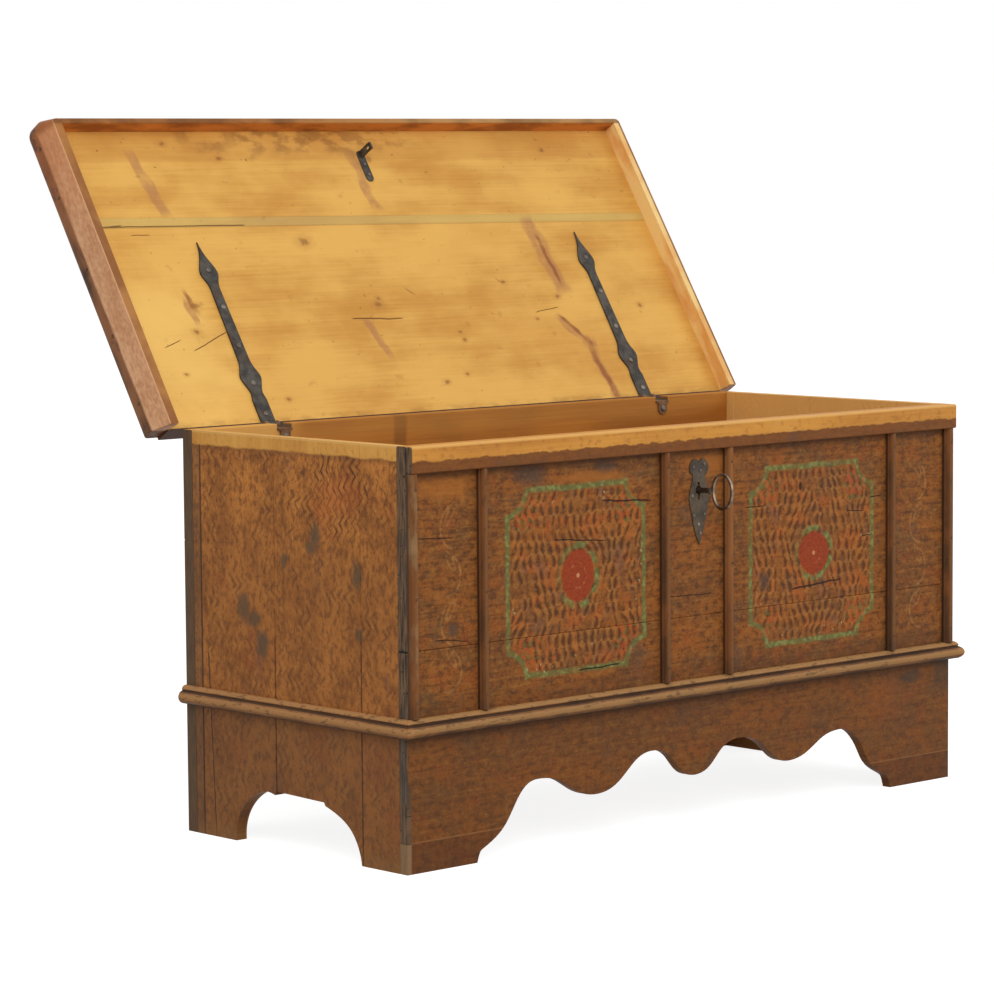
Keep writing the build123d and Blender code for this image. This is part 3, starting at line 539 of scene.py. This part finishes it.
def ease(names, body, width, smallest=0.012):
    """Stand copies with eased arrises in for sharp-edged pieces; width is what is taken off."""
    for name in names:
        piece = nodes[name].copy()
        piece.data = nodes[name].data.copy()
        piece.name = name + "_eased"
        bpy.context.scene.collection.objects.link(piece)
        bpy.ops.object.select_all(action="DESELECT")
        bpy.context.view_layer.objects.active = piece
        piece.select_set(True)
        bpy.ops.object.mode_set(mode="EDIT")
        bpy.ops.mesh.select_all(action="SELECT")
        bpy.ops.mesh.remove_doubles(threshold=MERGE_DISTANCE)
        bpy.ops.mesh.dissolve_limited(angle_limit=FLAT_ANGLE)
        bpy.ops.mesh.select_mode(type="EDGE")
        bpy.ops.mesh.select_all(action="DESELECT")
        shape = bmesh.from_edit_mesh(piece.data)
        for edge in sharp_runs(shape, smallest):
            edge.select = True
        bmesh.update_edit_mesh(piece.data)
        bpy.ops.mesh.bevel(offset=width, offset_type="OFFSET", segments=EASE_SEGMENTS,
                           clamp_overlap=False)
        bpy.ops.object.mode_set(mode="OBJECT")
        bpy.ops.object.shade_smooth_by_angle(angle=SMOOTH_ANGLE)
        weighted = piece.modifiers.new("flat_faces", "WEIGHTED_NORMAL")
        weighted.keep_sharp = True
        bpy.ops.object.modifier_apply(modifier=weighted.name)
        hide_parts(name)
        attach(piece, body)


FRONT_BOARDS = ("front_lower_board", "front_upper_board")
FOOT_PIECES = ("left_foot_piece", "right_foot_piece")
dress(front_paint(), *FRONT_BOARDS, "front_apron", *FOOT_PIECES, "top_rail")
ease(FRONT_BOARDS, "chest", 0.0008)
ease(("front_apron",), "chest", 0.0006)
ease(FOOT_PIECES, "chest", 0.0005)
ease(("top_rail",), "chest", 0.0014)


# ---- Strips and base moulding ----
# Six planed strips nailed upright over the front boards, and a base moulding in three mitred
# lengths around the case, painted the same brown and rubbed down to pale wood along their rounds.
STRIP_HALF_WIDTH = 0.0085
FIRST_STRIP_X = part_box("front_strip_1")[0].x + STRIP_HALF_WIDTH
FOURTH_STRIP_X = 0.064
NOSE_Z = 0.211
GROOVE_Z = 0.2193
SLOPE_Z = 0.2262
MOULDING_FOOT = 0.2042


def strip_paint():
    """Painted shade where a flank meets the board, dull on the flat, rubbed pale where hands reach.
    """
    f = Finish("strip_paint")
    proud = FRONT_Y - f.y
    clouds = f.noise(f.x * 22, f.y * 14, f.z * 12, detail=4)
    fine = f.noise(f.x * 120, f.y * 90, f.z * 40, detail=3)
    coat = f.mix(clouds.rise(0.35, 0.65), paint(122, 74, 38), paint(86, 54, 30))
    worn = (proud.rise(0.0085, 0.012) * 0.7 + clouds * 0.6 + fine * 0.4).rise(0.95, 1.25)
    coat = f.mix(worn * 0.5, coat, paint(142, 98, 58))
    first = abs(f.x - FIRST_STRIP_X).rise(0.012, 0.01)
    scraped = first * (fine * 0.3 + clouds * 0.5).rise(0.3, 0.55)
    coat = f.mix(scraped * 0.75, coat, paint(176, 138, 96))
    fourth = abs(f.x - FOURTH_STRIP_X).rise(0.012, 0.01) * f.z.rise(0.3, 0.42)
    coat = f.mix(fourth * (clouds * 0.6 + 0.25), coat, paint(164, 106, 58))
    # Painted shade in the corner where each flank meets the board.
    coat = f.mix(proud.rise(0.0055, 0.004) * 0.75, coat, paint(52, 36, 27))
    coat = f.mix(f.z.rise(0.262, 0.232) * 0.4, coat, GRIME_AND_SHADE)
    coat = f.mix(fine.rise(0.58, 0.7) * 0.4, coat, GRIME_AND_SHADE)
    return f.close(coat, clouds * 0.2 + 0.5, clouds * 0.5 + fine * 0.5, 0.0008)


def moulding_paint():
    """Rubbed to pale tan on the slope and the nose; dirt and painted shade in the groove, painted
    shadow underneath.
    """
    f = Finish("moulding_paint")
    clouds = f.noise(f.x * 14, f.y * 14, f.z * 40, detail=4)
    fine = f.noise(f.x * 60, f.y * 60, f.z * 190, detail=3)
    coat = f.mix(clouds.rise(0.35, 0.65), paint(142, 96, 56), paint(96, 64, 40))
    nose = abs(f.z - NOSE_Z).rise(0.008, 0.003)
    slope = abs(f.z - SLOPE_Z).rise(0.0055, 0.003)
    worn = (nose.most(slope) * 0.8 + clouds * 0.5 + fine * 0.4).rise(0.95, 1.25)
    coat = f.mix(worn * 0.75, coat, paint(174, 130, 80))
    coat = f.mix(abs(f.x).rise(0.6, 0.604) * 0.3, coat, paint(196, 136, 84))
    # Dark in the groove, from dirt and painted shade together, and underneath, where the shadow is
    # painted.
    groove = abs(f.z - GROOVE_Z).rise(0.0026, 0.001)
    underneath = f.z.rise(MOULDING_FOOT, MOULDING_FOOT - 0.0032)
    coat = f.mix(groove.most(underneath) * 0.85, coat, paint(46, 32, 24))
    coat = f.mix(fine.rise(0.54, 0.66) * 0.55, coat, paint(78, 54, 36))
    return f.close(coat, clouds * 0.2 + 0.5, clouds * 0.5 + fine * 0.5, 0.0008)


STRIPS = [f"front_strip_{n}" for n in range(1, 7)]
MOULDINGS = ("front_moulding", "left_moulding", "right_moulding")
dress(strip_paint(), *STRIPS)
dress(moulding_paint(), *MOULDINGS)
ease(STRIPS, "chest", 0.0008)
ease(MOULDINGS, "chest", 0.0008)


# ---- Sides ----
# Four upright softwood planks each, with an orange-brown glaze that was combed in zigzags. It is
# worn through to grey in places; the wood is bare along the rim, where the lid's cleats drop over
# it, and raw on the inside.
FRONT_PLANK_JOINT = 0.102
MIDDLE_PLANK_JOINT = 0.299
REAR_PLANK_JOINT = 0.474
# Each spot: centre from the front and up, and its radii.
SIDE_SPOTS = ((0.204, 0.483, 0.014, 0.022), (0.216, 0.462, 0.012, 0.012),
              (0.372, 0.358, 0.017, 0.026), (0.348, 0.345, 0.018, 0.014),
              (0.329, 0.31, 0.017, 0.024), (0.106, 0.341, 0.009, 0.011),
              (0.109, 0.425, 0.013, 0.024), (0.276, 0.44, 0.008, 0.013))


def side_paint():
    """The combed glaze outside, the bare rim, and raw wood on the inner faces."""
    f = Finish("side_paint")
    depth = f.y - FRONT_Y
    z = f.z
    wander = f.noise(depth * 25, z * 25, detail=2) - 0.5
    slow = f.noise(depth * 5, z * 4, detail=2) - 0.5
    patches = f.noise(depth * 15, z * 9, 2, detail=5, roughness=0.65)
    mottle = f.noise((depth + slow * 0.02) * 110, z * 62, 6, detail=3, roughness=0.6)
    fine = f.noise(depth * 240, z * 150, detail=2)
    coat = f.mix(patches.rise(0.38, 0.64), paint(196, 124, 57), paint(158, 98, 47))
    zigzag = abs((z / 0.027 + slow * 3).fraction() - 0.5) * 0.022
    comb = ((depth + zigzag + wander * 0.014 + slow * 0.04) * (2 * pi / 0.0145)).sine()
    worked = f.noise(depth * 30, z * 24, 5, detail=3)
    well_kept = f.ring(depth, z, (0.15, 0.54), (0.1, 0.1)).rise(1, 0.4)
    combed = comb.rise(0.35, 0.9) * (worked.rise(0.5, 0.62) + well_kept)
    coat = f.mix(mottle.rise(0.5, 0.62) * 0.6, coat, paint(104, 62, 33))
    coat = f.mix(mottle.rise(0.46, 0.34) * 0.55, coat, paint(206, 138, 66))
    coat = f.mix(combed * 0.5, coat, paint(88, 50, 26))
    pale_comb = comb.rise(-0.4, -0.9) * worked.rise(0.52, 0.66)
    coat = f.mix(pale_comb * 0.35, coat, paint(206, 144, 72))
    red_patch = f.noise(depth * 9, z * 8, 14, detail=3).rise(0.56, 0.68)
    coat = f.mix(red_patch * 0.35, coat, paint(176, 90, 44))
    violet = f.noise(depth * 13, z * 7, 22, detail=3).rise(0.58, 0.7)
    coat = f.mix(violet * 0.4, coat, paint(124, 88, 72))
    coat = f.mix(fine.rise(0.56, 0.68) * 0.5, coat, paint(84, 50, 28))
    coat = f.mix(z.rise(0.56, 0.4) * 0.32, coat, paint(118, 72, 38))
    lower = z.rise(0.206, 0.196)
    coat = f.mix(lower * 0.42, coat, paint(96, 66, 44))
    spots = widest([(f.ring(depth, z, (d0, z0), (wide, high)) + wander * 1.1).rise(1.25, 0.35)
                    for d0, z0, wide, high in SIDE_SPOTS])
    coat = f.mix(spots * 0.7, coat, f.mix(mottle, paint(66, 62, 46), paint(86, 76, 60)))
    joint = abs(depth - FRONT_PLANK_JOINT).least(abs(depth - MIDDLE_PLANK_JOINT))
    coat = f.mix(joint.rise(0.0022, 0.0008) * z.rise(0.34, 0.3) * 0.6, coat, GRIME_AND_SHADE)
    crack = abs(depth - 0.457 - (z - 0.24) * 0.05).rise(0.0016, 0.0007) * z.rise(0.29, 0.28)
    coat = f.mix(crack * 0.9, coat, GRIME_AND_SHADE)
    coat = f.mix(abs(depth - REAR_PLANK_JOINT).rise(0.003, 0.001) * 0.8, coat, GRIME_AND_SHADE)
    rear_plank = depth.rise(REAR_PLANK_JOINT - 0.001, REAR_PLANK_JOINT + 0.002)
    coat = f.mix(rear_plank * 0.4, coat, paint(94, 72, 54))
    bare, bare_height = softwood(f, z, depth, paint(232, 172, 86), paint(204, 140, 64))
    rim_line = z + wander * 0.01 + (mottle - 0.5) * 0.006
    bare_mask = rim_line.rise(PAINT_TOP - 0.001, PAINT_TOP + 0.003)
    coat = f.mix(z.rise(0.59, 0.6) * 0.35, coat, paint(92, 58, 40))
    bare = f.mix(mottle.rise(0.5, 0.7) * 0.35, bare, paint(172, 108, 50))
    colour = f.mix(bare_mask, coat, bare)
    # Painted highlight: a pale line along the top arris of the rim.
    colour = f.mix(z.rise(0.6182, 0.6195) * 0.6, colour, paint(232, 184, 110))
    outward = abs(f.x)
    raw, _ = softwood(f, z, depth, paint(200, 134, 62), paint(164, 100, 44))
    # Painted light: the upper inner face of the right side, which faces the light, is painted pale
    # golden.
    raw = f.mix(f.x.rise(-0.3, 0.3) * z.rise(0.5, 0.58) * 0.75, raw, paint(240, 186, 108))
    colour = f.mix(outward.rise(-BODY_LEFT - 0.016, -BODY_LEFT - 0.0185), colour, raw)
    colour = f.mix(z.rise(0.03, 0.004) * 0.4, colour, paint(140, 104, 62))
    height = fine * 0.35 + mottle * 0.3 - combed * 0.3 + bare_height * 0.2
    height = height - joint.rise(0.002, 0.0005) * 0.8
    return f.close(colour, patches * 0.25 + 0.45, height, 0.001)


SIDE_PLANKS = [f"{side}_side_plank_{n}" for side in ("left", "right") for n in range(1, 5)]
dress(side_paint(), *SIDE_PLANKS)
ease(SIDE_PLANKS, "chest", 0.0002)


# ---- Back and bottom ----
# Two back boards that lap over the sides, a skirt between the back feet, and three floor boards on
# two battens, all nailed and never painted: grey-brown outside from age, orange-brown inside.
BACK_KNOTS = (((0.31, 0.86), (0.016, 0.01)), ((-0.36, 0.47), (0.013, 0.011)),
              ((0.08, 0.62), (0.01, 0.008)))
STAIN_X = -0.176


def raw_board(name, outer_pale, outer_dark, inner_pale, inner_dark):
    """Bare softwood with one pair of tones outside and another on the faces inside the chest."""
    f = Finish(name)
    outside, height = softwood(f, f.x, f.z + f.y, outer_pale, outer_dark)
    inside, _ = softwood(f, f.x, f.z + f.y, inner_pale, inner_dark)
    depth = f.y - FRONT_Y
    stain_wander = (f.noise(f.x * 20, f.z * 20) - 0.5) * 0.01
    stain = abs(f.x - STAIN_X + stain_wander).rise(0.018, 0.009)
    inside = f.mix(stain * 0.5, inside, paint(104, 62, 28))
    clouds = f.noise(f.x * 5, f.z * 8, 3, detail=4)
    inside = f.mix(clouds.rise(0.45, 0.75) * 0.5, inside, paint(140, 84, 34))
    # Painted light: the inner faces are painted pale just under the rim, most strongly towards the
    # left end.
    lit_near_rim = (f.z + (clouds - 0.5) * 0.03).rise(0.582, 0.604)
    light_towards_left = f.x.rise(-0.37, -0.45) * 0.53 + 0.12
    inside = f.mix(lit_near_rim * light_towards_left, inside, paint(242, 188, 104))
    knots = widest([f.ring(f.x, f.z + f.y, centre, radii).rise(2.4, 0.8)
                    for centre, radii in BACK_KNOTS])
    outside = f.mix(knots * 0.55, outside, paint(66, 48, 36))
    scuffs = f.noise(f.x * 7, f.z * 80, 8, detail=4).rise(0.58, 0.74)
    outside = f.mix(scuffs * 0.4, outside, paint(154, 128, 98))
    front_side = depth.rise(0.4945, 0.4935) * depth.rise(0.491, 0.4925)
    top_side = f.z.rise(0.6195, 0.6212)
    colour = f.mix(front_side.most(top_side), outside, inside)
    end = abs(f.x).rise(-BODY_LEFT - 0.001, -BODY_LEFT - 0.0002)
    rings = f.noise(f.y * 300, f.z * 30, detail=3)
    colour = f.mix(end, colour, f.mix(rings, END_GRAIN, paint(66, 52, 42)))
    return f.close(colour, 0.7, height, 0.0008)


BACK_BOARDS = ("back_lower_board", "back_upper_board", "back_skirt")
BOTTOM_BOARDS = ("floor_board_1", "floor_board_2", "floor_board_3", "left_floor_batten",
                 "right_floor_batten")
BACK_OUTSIDE = (paint(134, 106, 78), paint(92, 72, 54))
BACK_INSIDE = (paint(192, 122, 48), paint(154, 92, 34))
BOTTOM_WOOD = (paint(176, 124, 72), paint(138, 94, 52))
dress(raw_board("back_wood", *BACK_OUTSIDE, *BACK_INSIDE), *BACK_BOARDS)
dress(raw_board("bare_pine", *BOTTOM_WOOD, *BOTTOM_WOOD), *BOTTOM_BOARDS)
ease(BACK_BOARDS, "chest", 0.0005)
ease(BOTTOM_BOARDS, "chest", 0.0008)

# ---- Lid ----
# Two wide pine boards with a thin pale filler strip between them, golden and unpainted underneath,
# with old knots, cracks and brown stains, and painted brown outside. A front rail and two end
# cleats are nailed round them and drop over the case when the lid is shut.
hinge = next(joint for joint in frame["joints"] if joint["name"] == "lid_hinge")
PIVOT = Vector(hinge["pos_m"])
LID_TILT = radians(hinge["range_deg"][1])
UNDERSIDE = 0.0045
LID_REAR = 0.007
BOARD_JOINT_REACH = 0.3665
BOARD_JOINT_SKEW = 0.0085
CLEAT_INNER = 0.609
CLEAT_MIDDLE = 0.6235
RAIL_INNER = 0.545
RAIL_FOOT = -0.0254
RAIL_FLARE = 0.467
# Each stain and streak: start, end and half width, as distances across and forward from the hinge.
LID_STAINS = (((-0.478, 0.505), (-0.455, 0.392), 0.016), ((-0.016, 0.505), (-0.006, 0.395), 0.013),
              ((-0.129, 0.182), (-0.108, 0.112), 0.011), ((0.322, 0.365), (0.338, 0.222), 0.021),
              ((0.3, 0.168), (0.35, 0.1), 0.012), ((0.345, 0.12), (0.356, 0.012), 0.014),
              ((-0.478, 0.232), (-0.474, 0.192), 0.01))
LID_STREAKS = (((0.342, 0.125), (0.357, 0.01), 0.008), ((0.306, 0.17), (0.342, 0.118), 0.005),
               ((-0.476, 0.245), (-0.466, 0.212), 0.006), ((0.33, 0.33), (0.338, 0.24), 0.005))
# Each knot: across, forward and radius.
LID_KNOTS = ((-0.484, 0.174, 0.006), (-0.469, 0.22, 0.009), (-0.09, 0.208, 0.009),
             (-0.085, 0.22, 0.005), (0.063, 0.15, 0.004), (0.065, 0.135, 0.005),
             (0.208, 0.242, 0.005), (0.249, 0.168, 0.004), (-0.194, 0.332, 0.012),
             (0.318, 0.21, 0.006), (-0.3, 0.493, 0.006), (-0.406, 0.522, 0.007),
             (-0.012, 0.058, 0.006), (0.505, 0.185, 0.006), (0.04, 0.07, 0.004),
             (-0.355, 0.045, 0.005), (0.43, 0.505, 0.006), (-0.536, 0.1, 0.004))
LID_CRACKS = (((-0.505, 0.14), (-0.424, 0.172), 0.0011), ((-0.16, 0.185), (-0.048, 0.181), 0.0014),
              ((0.25, 0.18), (0.31, 0.188), 0.0008), ((-0.56, 0.148), (-0.52, 0.162), 0.0009),
              ((-0.6, 0.368), (-0.548, 0.371), 0.0013), ((-0.54, 0.352), (-0.5, 0.352), 0.0008),
              ((-0.02, 0.24), (0.0, 0.222), 0.001), ((0.19, 0.252), (0.205, 0.238), 0.001))


def lid_reach(f):
    """The distance forward from the hinge axis, along the lid."""
    return (f.y - PIVOT.y) * -cos(LID_TILT) + (f.z - PIVOT.z) * sin(LID_TILT)


def lid_height(f):
    """The height above the lid's underside, square to the lid."""
    return (f.y - PIVOT.y) * sin(LID_TILT) + (f.z - PIVOT.z) * cos(LID_TILT) - UNDERSIDE


def smear(across, up, start, end, half, wander):
    """A soft-edged stain along the line from start to end."""
    length = hypot(end[0] - start[0], end[1] - start[1])
    ahead_across, ahead_up = (end[0] - start[0]) / length, (end[1] - start[1]) / length
    along = (across - start[0]) * ahead_across + (up - start[1]) * ahead_up
    off = abs((across - start[0]) * ahead_up - (up - start[1]) * ahead_across + wander)
    past_start = along.rise(-0.012, 0.008)
    short_of_end = along.rise(length + 0.014, length - 0.008)
    return off.rise(half, half * 0.5) * past_start * short_of_end


def outer_brown(f, along, across):
    """The old brown paint on the outside of the lid, thin and streaky."""
    clouds = f.noise(along * 6, across * 14, 31, detail=4)
    streaks = f.noise(along * 7, across * 150, 33, detail=3)
    coat = f.mix(clouds.rise(0.38, 0.64), paint(124, 76, 42), paint(84, 52, 32))
    return f.mix(streaks.rise(0.56, 0.72) * 0.45, coat, paint(150, 104, 66))


def lid_pine():
    """Golden pine under the lid with its stains, knots and cracks, and brown paint outside."""
    f = Finish("lid_pine")
    x = f.x
    reach = lid_reach(f)
    wander = f.noise(x * 20, reach * 20, detail=2) - 0.5
    fibres = f.noise(x * 6, reach * 240, detail=3)
    bands = f.noise(x * 1.6, reach * 20, 2, detail=3, distortion=0.3)
    clouds = f.noise(x * 5, reach * 8, 5, detail=4)
    tone = (fibres * 0.16 + bands * 0.26 + clouds * 0.62).rise(0.42, 0.68)
    pine = f.mix(tone, paint(234, 181, 92), paint(206, 146, 66))
    pale = (f.ring(x, reach, (-0.56, 0.13), (0.17, 0.17)) + wander * 0.8).rise(1.2, 0.3)
    pine = f.mix(pale * 0.65, pine, paint(250, 203, 112))
    orange = f.noise(x * 3.2, reach * 5, 15, detail=3).rise(0.52, 0.68)
    pine = f.mix(orange * 0.3, pine, paint(204, 136, 56))
    squared = reach + (x + CLEAT_INNER) * BOARD_JOINT_SKEW
    filler = (squared + wander * 0.002).rise(BOARD_JOINT_REACH, BOARD_JOINT_REACH + 0.001)
    filler = filler * (reach + (x + CLEAT_INNER) * 0.0105).rise(0.386, 0.3845)
    filler_pine = f.mix(bands.rise(0.4, 0.6), paint(206, 178, 104), paint(190, 160, 98))
    pine = f.mix(filler * 0.6, pine, filler_pine)
    under_filler = line_between(x, reach, (-0.6, 0.3685), (-0.3, 0.3665), 0.0012, wander * 0.002)
    pine = f.mix(reach.rise(0.484, 0.492) * 0.35, pine, paint(196, 132, 60))
    smoke = (f.ring(x, reach, (-0.12, 0.53), (0.3, 0.035)) + wander * 1.4).rise(1.2, 0.3)
    smoke = smoke * f.noise(x * 24, reach * 40, 2).rise(0.42, 0.6)
    pine = f.mix(smoke * 0.6, pine, paint(144, 92, 46))
    stains = [smear(x, reach, start, end, half, wander * 0.03) for start, end, half in LID_STAINS]
    blotchy = f.noise(x * 34, reach * 34, 37, detail=3).rise(0.3, 0.6)
    pine = f.mix(widest(stains) * (blotchy * 0.35 + 0.3), pine, paint(178, 120, 80))
    darker = [smear(x, reach, start, end, half, wander * 0.02) for start, end, half in LID_STREAKS]
    pine = f.mix(widest(darker) * (blotchy * 0.4 + 0.35), pine, paint(142, 78, 42))
    cores, halos = [], []
    ragged = f.noise(x * 110, reach * 110, 45, detail=2) - 0.5
    for knot_x, knot_u, size in LID_KNOTS:
        ring = f.ring(x, reach, (knot_x, knot_u), (size * 1.2, size * 0.8)) + ragged * 1.5
        cores.append(ring.rise(1.0, 0.3))
        halos.append(ring.rise(2.2, 0.8))
    knots = widest(cores)
    pine = f.mix(widest(halos) * 0.3, pine, paint(186, 122, 58))
    pine = f.mix(knots * 0.6, pine, paint(132, 84, 42))
    scuffs = f.noise(x * 32, reach * 46, 43, detail=5).rise(0.63, 0.72)
    pine = f.mix(scuffs * (reach.rise(0.42, 0.5) * 0.35 + 0.25), pine, paint(160, 104, 52))
    specks = f.noise(x * 95, reach * 95, 41, detail=1).rise(0.735, 0.78)
    pine = f.mix(specks * (reach.rise(0.44, 0.5) * 0.5 + 0.35), pine, paint(122, 76, 40))
    cracks = widest([line_between(x, reach, start, end, half, wander * 0.006)
                     for start, end, half in LID_CRACKS])
    cracks = cracks.most(under_filler)
    pine = f.mix(cracks * 0.8, pine, paint(96, 56, 26))
    board_edge = abs(squared - BOARD_JOINT_REACH).rise(0.0012, 0.0004)
    pine = f.mix(board_edge * 0.35, pine, paint(140, 92, 46))
    hinge_dirt = reach.rise(0.022, 0.006) * f.noise(x * 30, reach * 60, 4).rise(0.42, 0.6)
    pine = f.mix(hinge_dirt * 0.35, pine, paint(140, 92, 44))
    rear_edge = reach.rise(LID_REAR + 0.0006, LID_REAR + 0.0002)
    outside = lid_height(f).rise(0.003, 0.006).most(rear_edge)
    colour = f.mix(outside, pine, outer_brown(f, x, reach))
    height = fibres * 0.3 + bands * 0.3 - cracks * 1.5 - knots * 0.5
    return f.close(colour, clouds * 0.2 + 0.45, height, 0.0008)


def lid_edge():
    """Rail and cleats: raw pine inner faces with painted light and shade, rubbed red-brown paint
    outside.
    """
    f = Finish("lid_edge")
    reach, high = lid_reach(f), lid_height(f)
    beside = abs(f.x)
    clouds = f.noise(f.x * 9, reach * 9, high * 30, detail=4)
    fine = f.noise(f.x * 60, reach * 60, high * 200, detail=3)
    streaks = f.noise(f.x * 10, reach * 6, high * 260, detail=3)
    speckled = f.noise(f.x * 130, reach * 110, high * 260, detail=3)
    tone = (clouds * 0.5 + streaks * 0.2 + speckled * 0.4).rise(0.42, 0.68)
    rubbed = f.mix(tone, paint(222, 170, 128), paint(190, 134, 94))
    brown = f.mix(clouds.rise(0.36, 0.62), paint(146, 96, 60), paint(98, 66, 46))
    upper = (high + (clouds - 0.5) * 0.008).rise(0.003, 0.009).most(reach.rise(0.535, 0.55))
    outer = f.mix(upper, rubbed, brown)
    outer = f.mix(reach.rise(0.3, 0.56) * 0.5, outer, paint(196, 116, 66))
    mould = f.noise(f.x * 14, reach * 14, high * 14, detail=5, roughness=0.7).rise(0.55, 0.66)
    outer = f.mix(mould * upper * 0.7, outer, paint(64, 50, 42))
    outer = f.mix(high.rise(0.03, 0.0345) * 0.8, outer, outer_brown(f, reach, f.x))
    # Painted highlight along the cleats' worn lower outer arris.
    foot_arris_highlight = high.rise(-0.0232, -0.0256) * (beside - CLEAT_MIDDLE).rise(0, 0.001)
    outer = f.mix(foot_arris_highlight * 0.7, outer, paint(228, 178, 132))
    underneath = high.rise(RAIL_FOOT, RAIL_FOOT - 0.0004) * beside.rise(0.625, 0.6243)
    # Painted light: the right cleat's inner face and underside, which face the light, are painted
    # pale golden.
    lit_golden = f.mix(clouds.rise(0.45, 0.68), paint(255, 220, 146), paint(238, 176, 100))
    lit_right_cleat = f.x.rise(-0.3, 0.3)
    lower_face = f.mix(clouds.rise(0.4, 0.6), paint(176, 118, 60), paint(140, 88, 44))
    lower_face = f.mix(lit_right_cleat * beside.rise(0.6215, 0.6185), lower_face, lit_golden)
    outer = f.mix(underneath * 0.9, outer, lower_face)
    raw, raw_height = softwood(f, reach, high + f.x, paint(212, 152, 74), paint(180, 116, 54))
    # Painted shade: the raw inner faces towards the left, turned away from the light, are darkened.
    raw = f.mix(f.x.rise(0.3, -0.3) * 0.6, raw, paint(156, 98, 48))
    raw = f.mix(lit_right_cleat * 0.95, raw, lit_golden)
    inner_rail = abs(reach - RAIL_INNER).rise(0.0012, 0.0005)
    inner_rail = inner_rail * beside.rise(CLEAT_INNER + 0.0005, CLEAT_INNER - 0.0002)
    slope = (reach - high * RAIL_FLARE).rise(0.5644, 0.5656)
    inner_cleat = beside.rise(CLEAT_INNER + 0.0012, CLEAT_INNER + 0.0002) * (1 - slope)
    rail_colour = f.mix(clouds.rise(0.42, 0.62), paint(222, 140, 64), paint(170, 100, 46))
    rail_foot = high.rise(RAIL_FOOT + 0.0008, RAIL_FOOT)
    rail_foot = rail_foot * reach.rise(RAIL_INNER - 0.0012, RAIL_INNER + 0.0002)
    colour = f.mix(inner_cleat * high.rise(0.002, -0.0005), outer, raw)
    colour = f.mix(inner_rail * high.rise(0.002, -0.0005), colour, rail_colour)
    foot_colour = f.mix(clouds.rise(0.4, 0.6), paint(166, 108, 58), paint(112, 70, 40))
    colour = f.mix(rail_foot * 0.8, colour, foot_colour)
    height = fine * 0.3 + streaks * 0.3 + raw_height * 0.2
    return f.close(colour, clouds * 0.25 + 0.4, height, 0.0008)


LID_BOARDS = ("lid_rear_board", "lid_filler_strip", "lid_front_board")
LID_EDGING = ("lid_front_rail", "left_lid_cleat", "right_lid_cleat")
dress(lid_pine(), *LID_BOARDS)
dress(lid_edge(), *LID_EDGING)
ease(LID_BOARDS, "lid", 0.0004)
ease(LID_EDGING, "lid", 0.0014)


# ---- Ironwork ----
# Straps, leaves, pins, hasp, lock, escutcheon and key are forged or cut from black iron; hands have
# rubbed them grey, and nail heads catch the light.
IRON_GLOSS = 0.3
IRON_METALLIC = 0.35
KEY_METALLIC = 0.8


def forged_iron(name, pale, dark, rust, roughness, relief, metallic=IRON_METALLIC):
    """Blotched iron with rust in patches, hammered and finely pitted."""
    f = Finish(name, IRON_GLOSS)
    blotch = f.noise(f.x * 60, f.y * 60, f.z * 60, detail=4)
    hammered = f.noise(f.x * 140, f.y * 140, f.z * 140, detail=2)
    pitted = f.noise(f.x * 700, f.y * 700, f.z * 700, detail=2)
    colour = f.mix(blotch.rise(0.35, 0.68), dark, pale)
    rusty = f.noise(f.x * 35, f.y * 35, f.z * 35, detail=5).rise(0.54, 0.68)
    colour = f.mix(rusty * 0.55, colour, rust)
    f.shader.inputs["Metallic"].default_value = metallic
    return f.close(colour, blotch * 0.25 + roughness, hammered * 0.7 + pitted * 0.3, relief)


iron = forged_iron("forged_iron", paint(88, 82, 74), paint(54, 50, 46), paint(84, 62, 46),
                   roughness=0.42, relief=0.001)
sheet_iron = forged_iron("sheet_iron", paint(98, 84, 68), paint(66, 57, 47), paint(98, 70, 48),
                         roughness=0.5, relief=0.001)
key_iron = forged_iron("key_iron", paint(150, 132, 112), paint(74, 66, 58), paint(96, 68, 50),
                       roughness=0.24, relief=0.0006, metallic=KEY_METALLIC)
leaf_iron = forged_iron("leaf_iron", paint(142, 110, 80), paint(98, 72, 52), paint(126, 80, 48),
                        roughness=0.5, relief=0.001)
nail_iron = forged_iron("nail_iron", paint(142, 134, 122), paint(92, 84, 76), paint(110, 84, 64),
                        roughness=0.36, relief=0.0004)
brad_iron = forged_iron("brad_iron", paint(112, 80, 54), paint(82, 58, 40), paint(104, 66, 40),
                        roughness=0.6, relief=0.0004)
HINGE_STRAPS = ("left_hinge_strap", "right_hinge_strap")
HINGE_LEAVES = ("left_hinge_leaf", "right_hinge_leaf")
dress(iron, *HINGE_STRAPS, "left_hinge_pin", "right_hinge_pin", "lid_hasp", "lock_plate",
      "lock_case", "lock_bolt", "lock_spring", "drill_pin")
dress(sheet_iron, "escutcheon")
dress(key_iron, "key")
dress(leaf_iron, *HINGE_LEAVES)
ease(HINGE_STRAPS, "lid", 0.0005, 0.014)
ease(("lid_hasp",), "lid", 0.0005, 0.008)
ease(HINGE_LEAVES, "chest", 0.0002, 0.008)
ease(("lock_plate",), "chest", 0.0004, 0.008)
ease(("lock_case",), "chest", 0.0002, 0.008)
ease(("escutcheon",), "chest", 0.0002, 0.008)
ease(("lock_bolt",), "bolt", 0.0004, 0.006)
ease(("key",), "key", 0.0003, 0.004)
dress(nail_iron, "strap_nails", "hasp_nails", "leaf_nails", "escutcheon_nails", "lock_nails")
dress(brad_iron, "strip_nails", "back_nails", "cleat_nails")
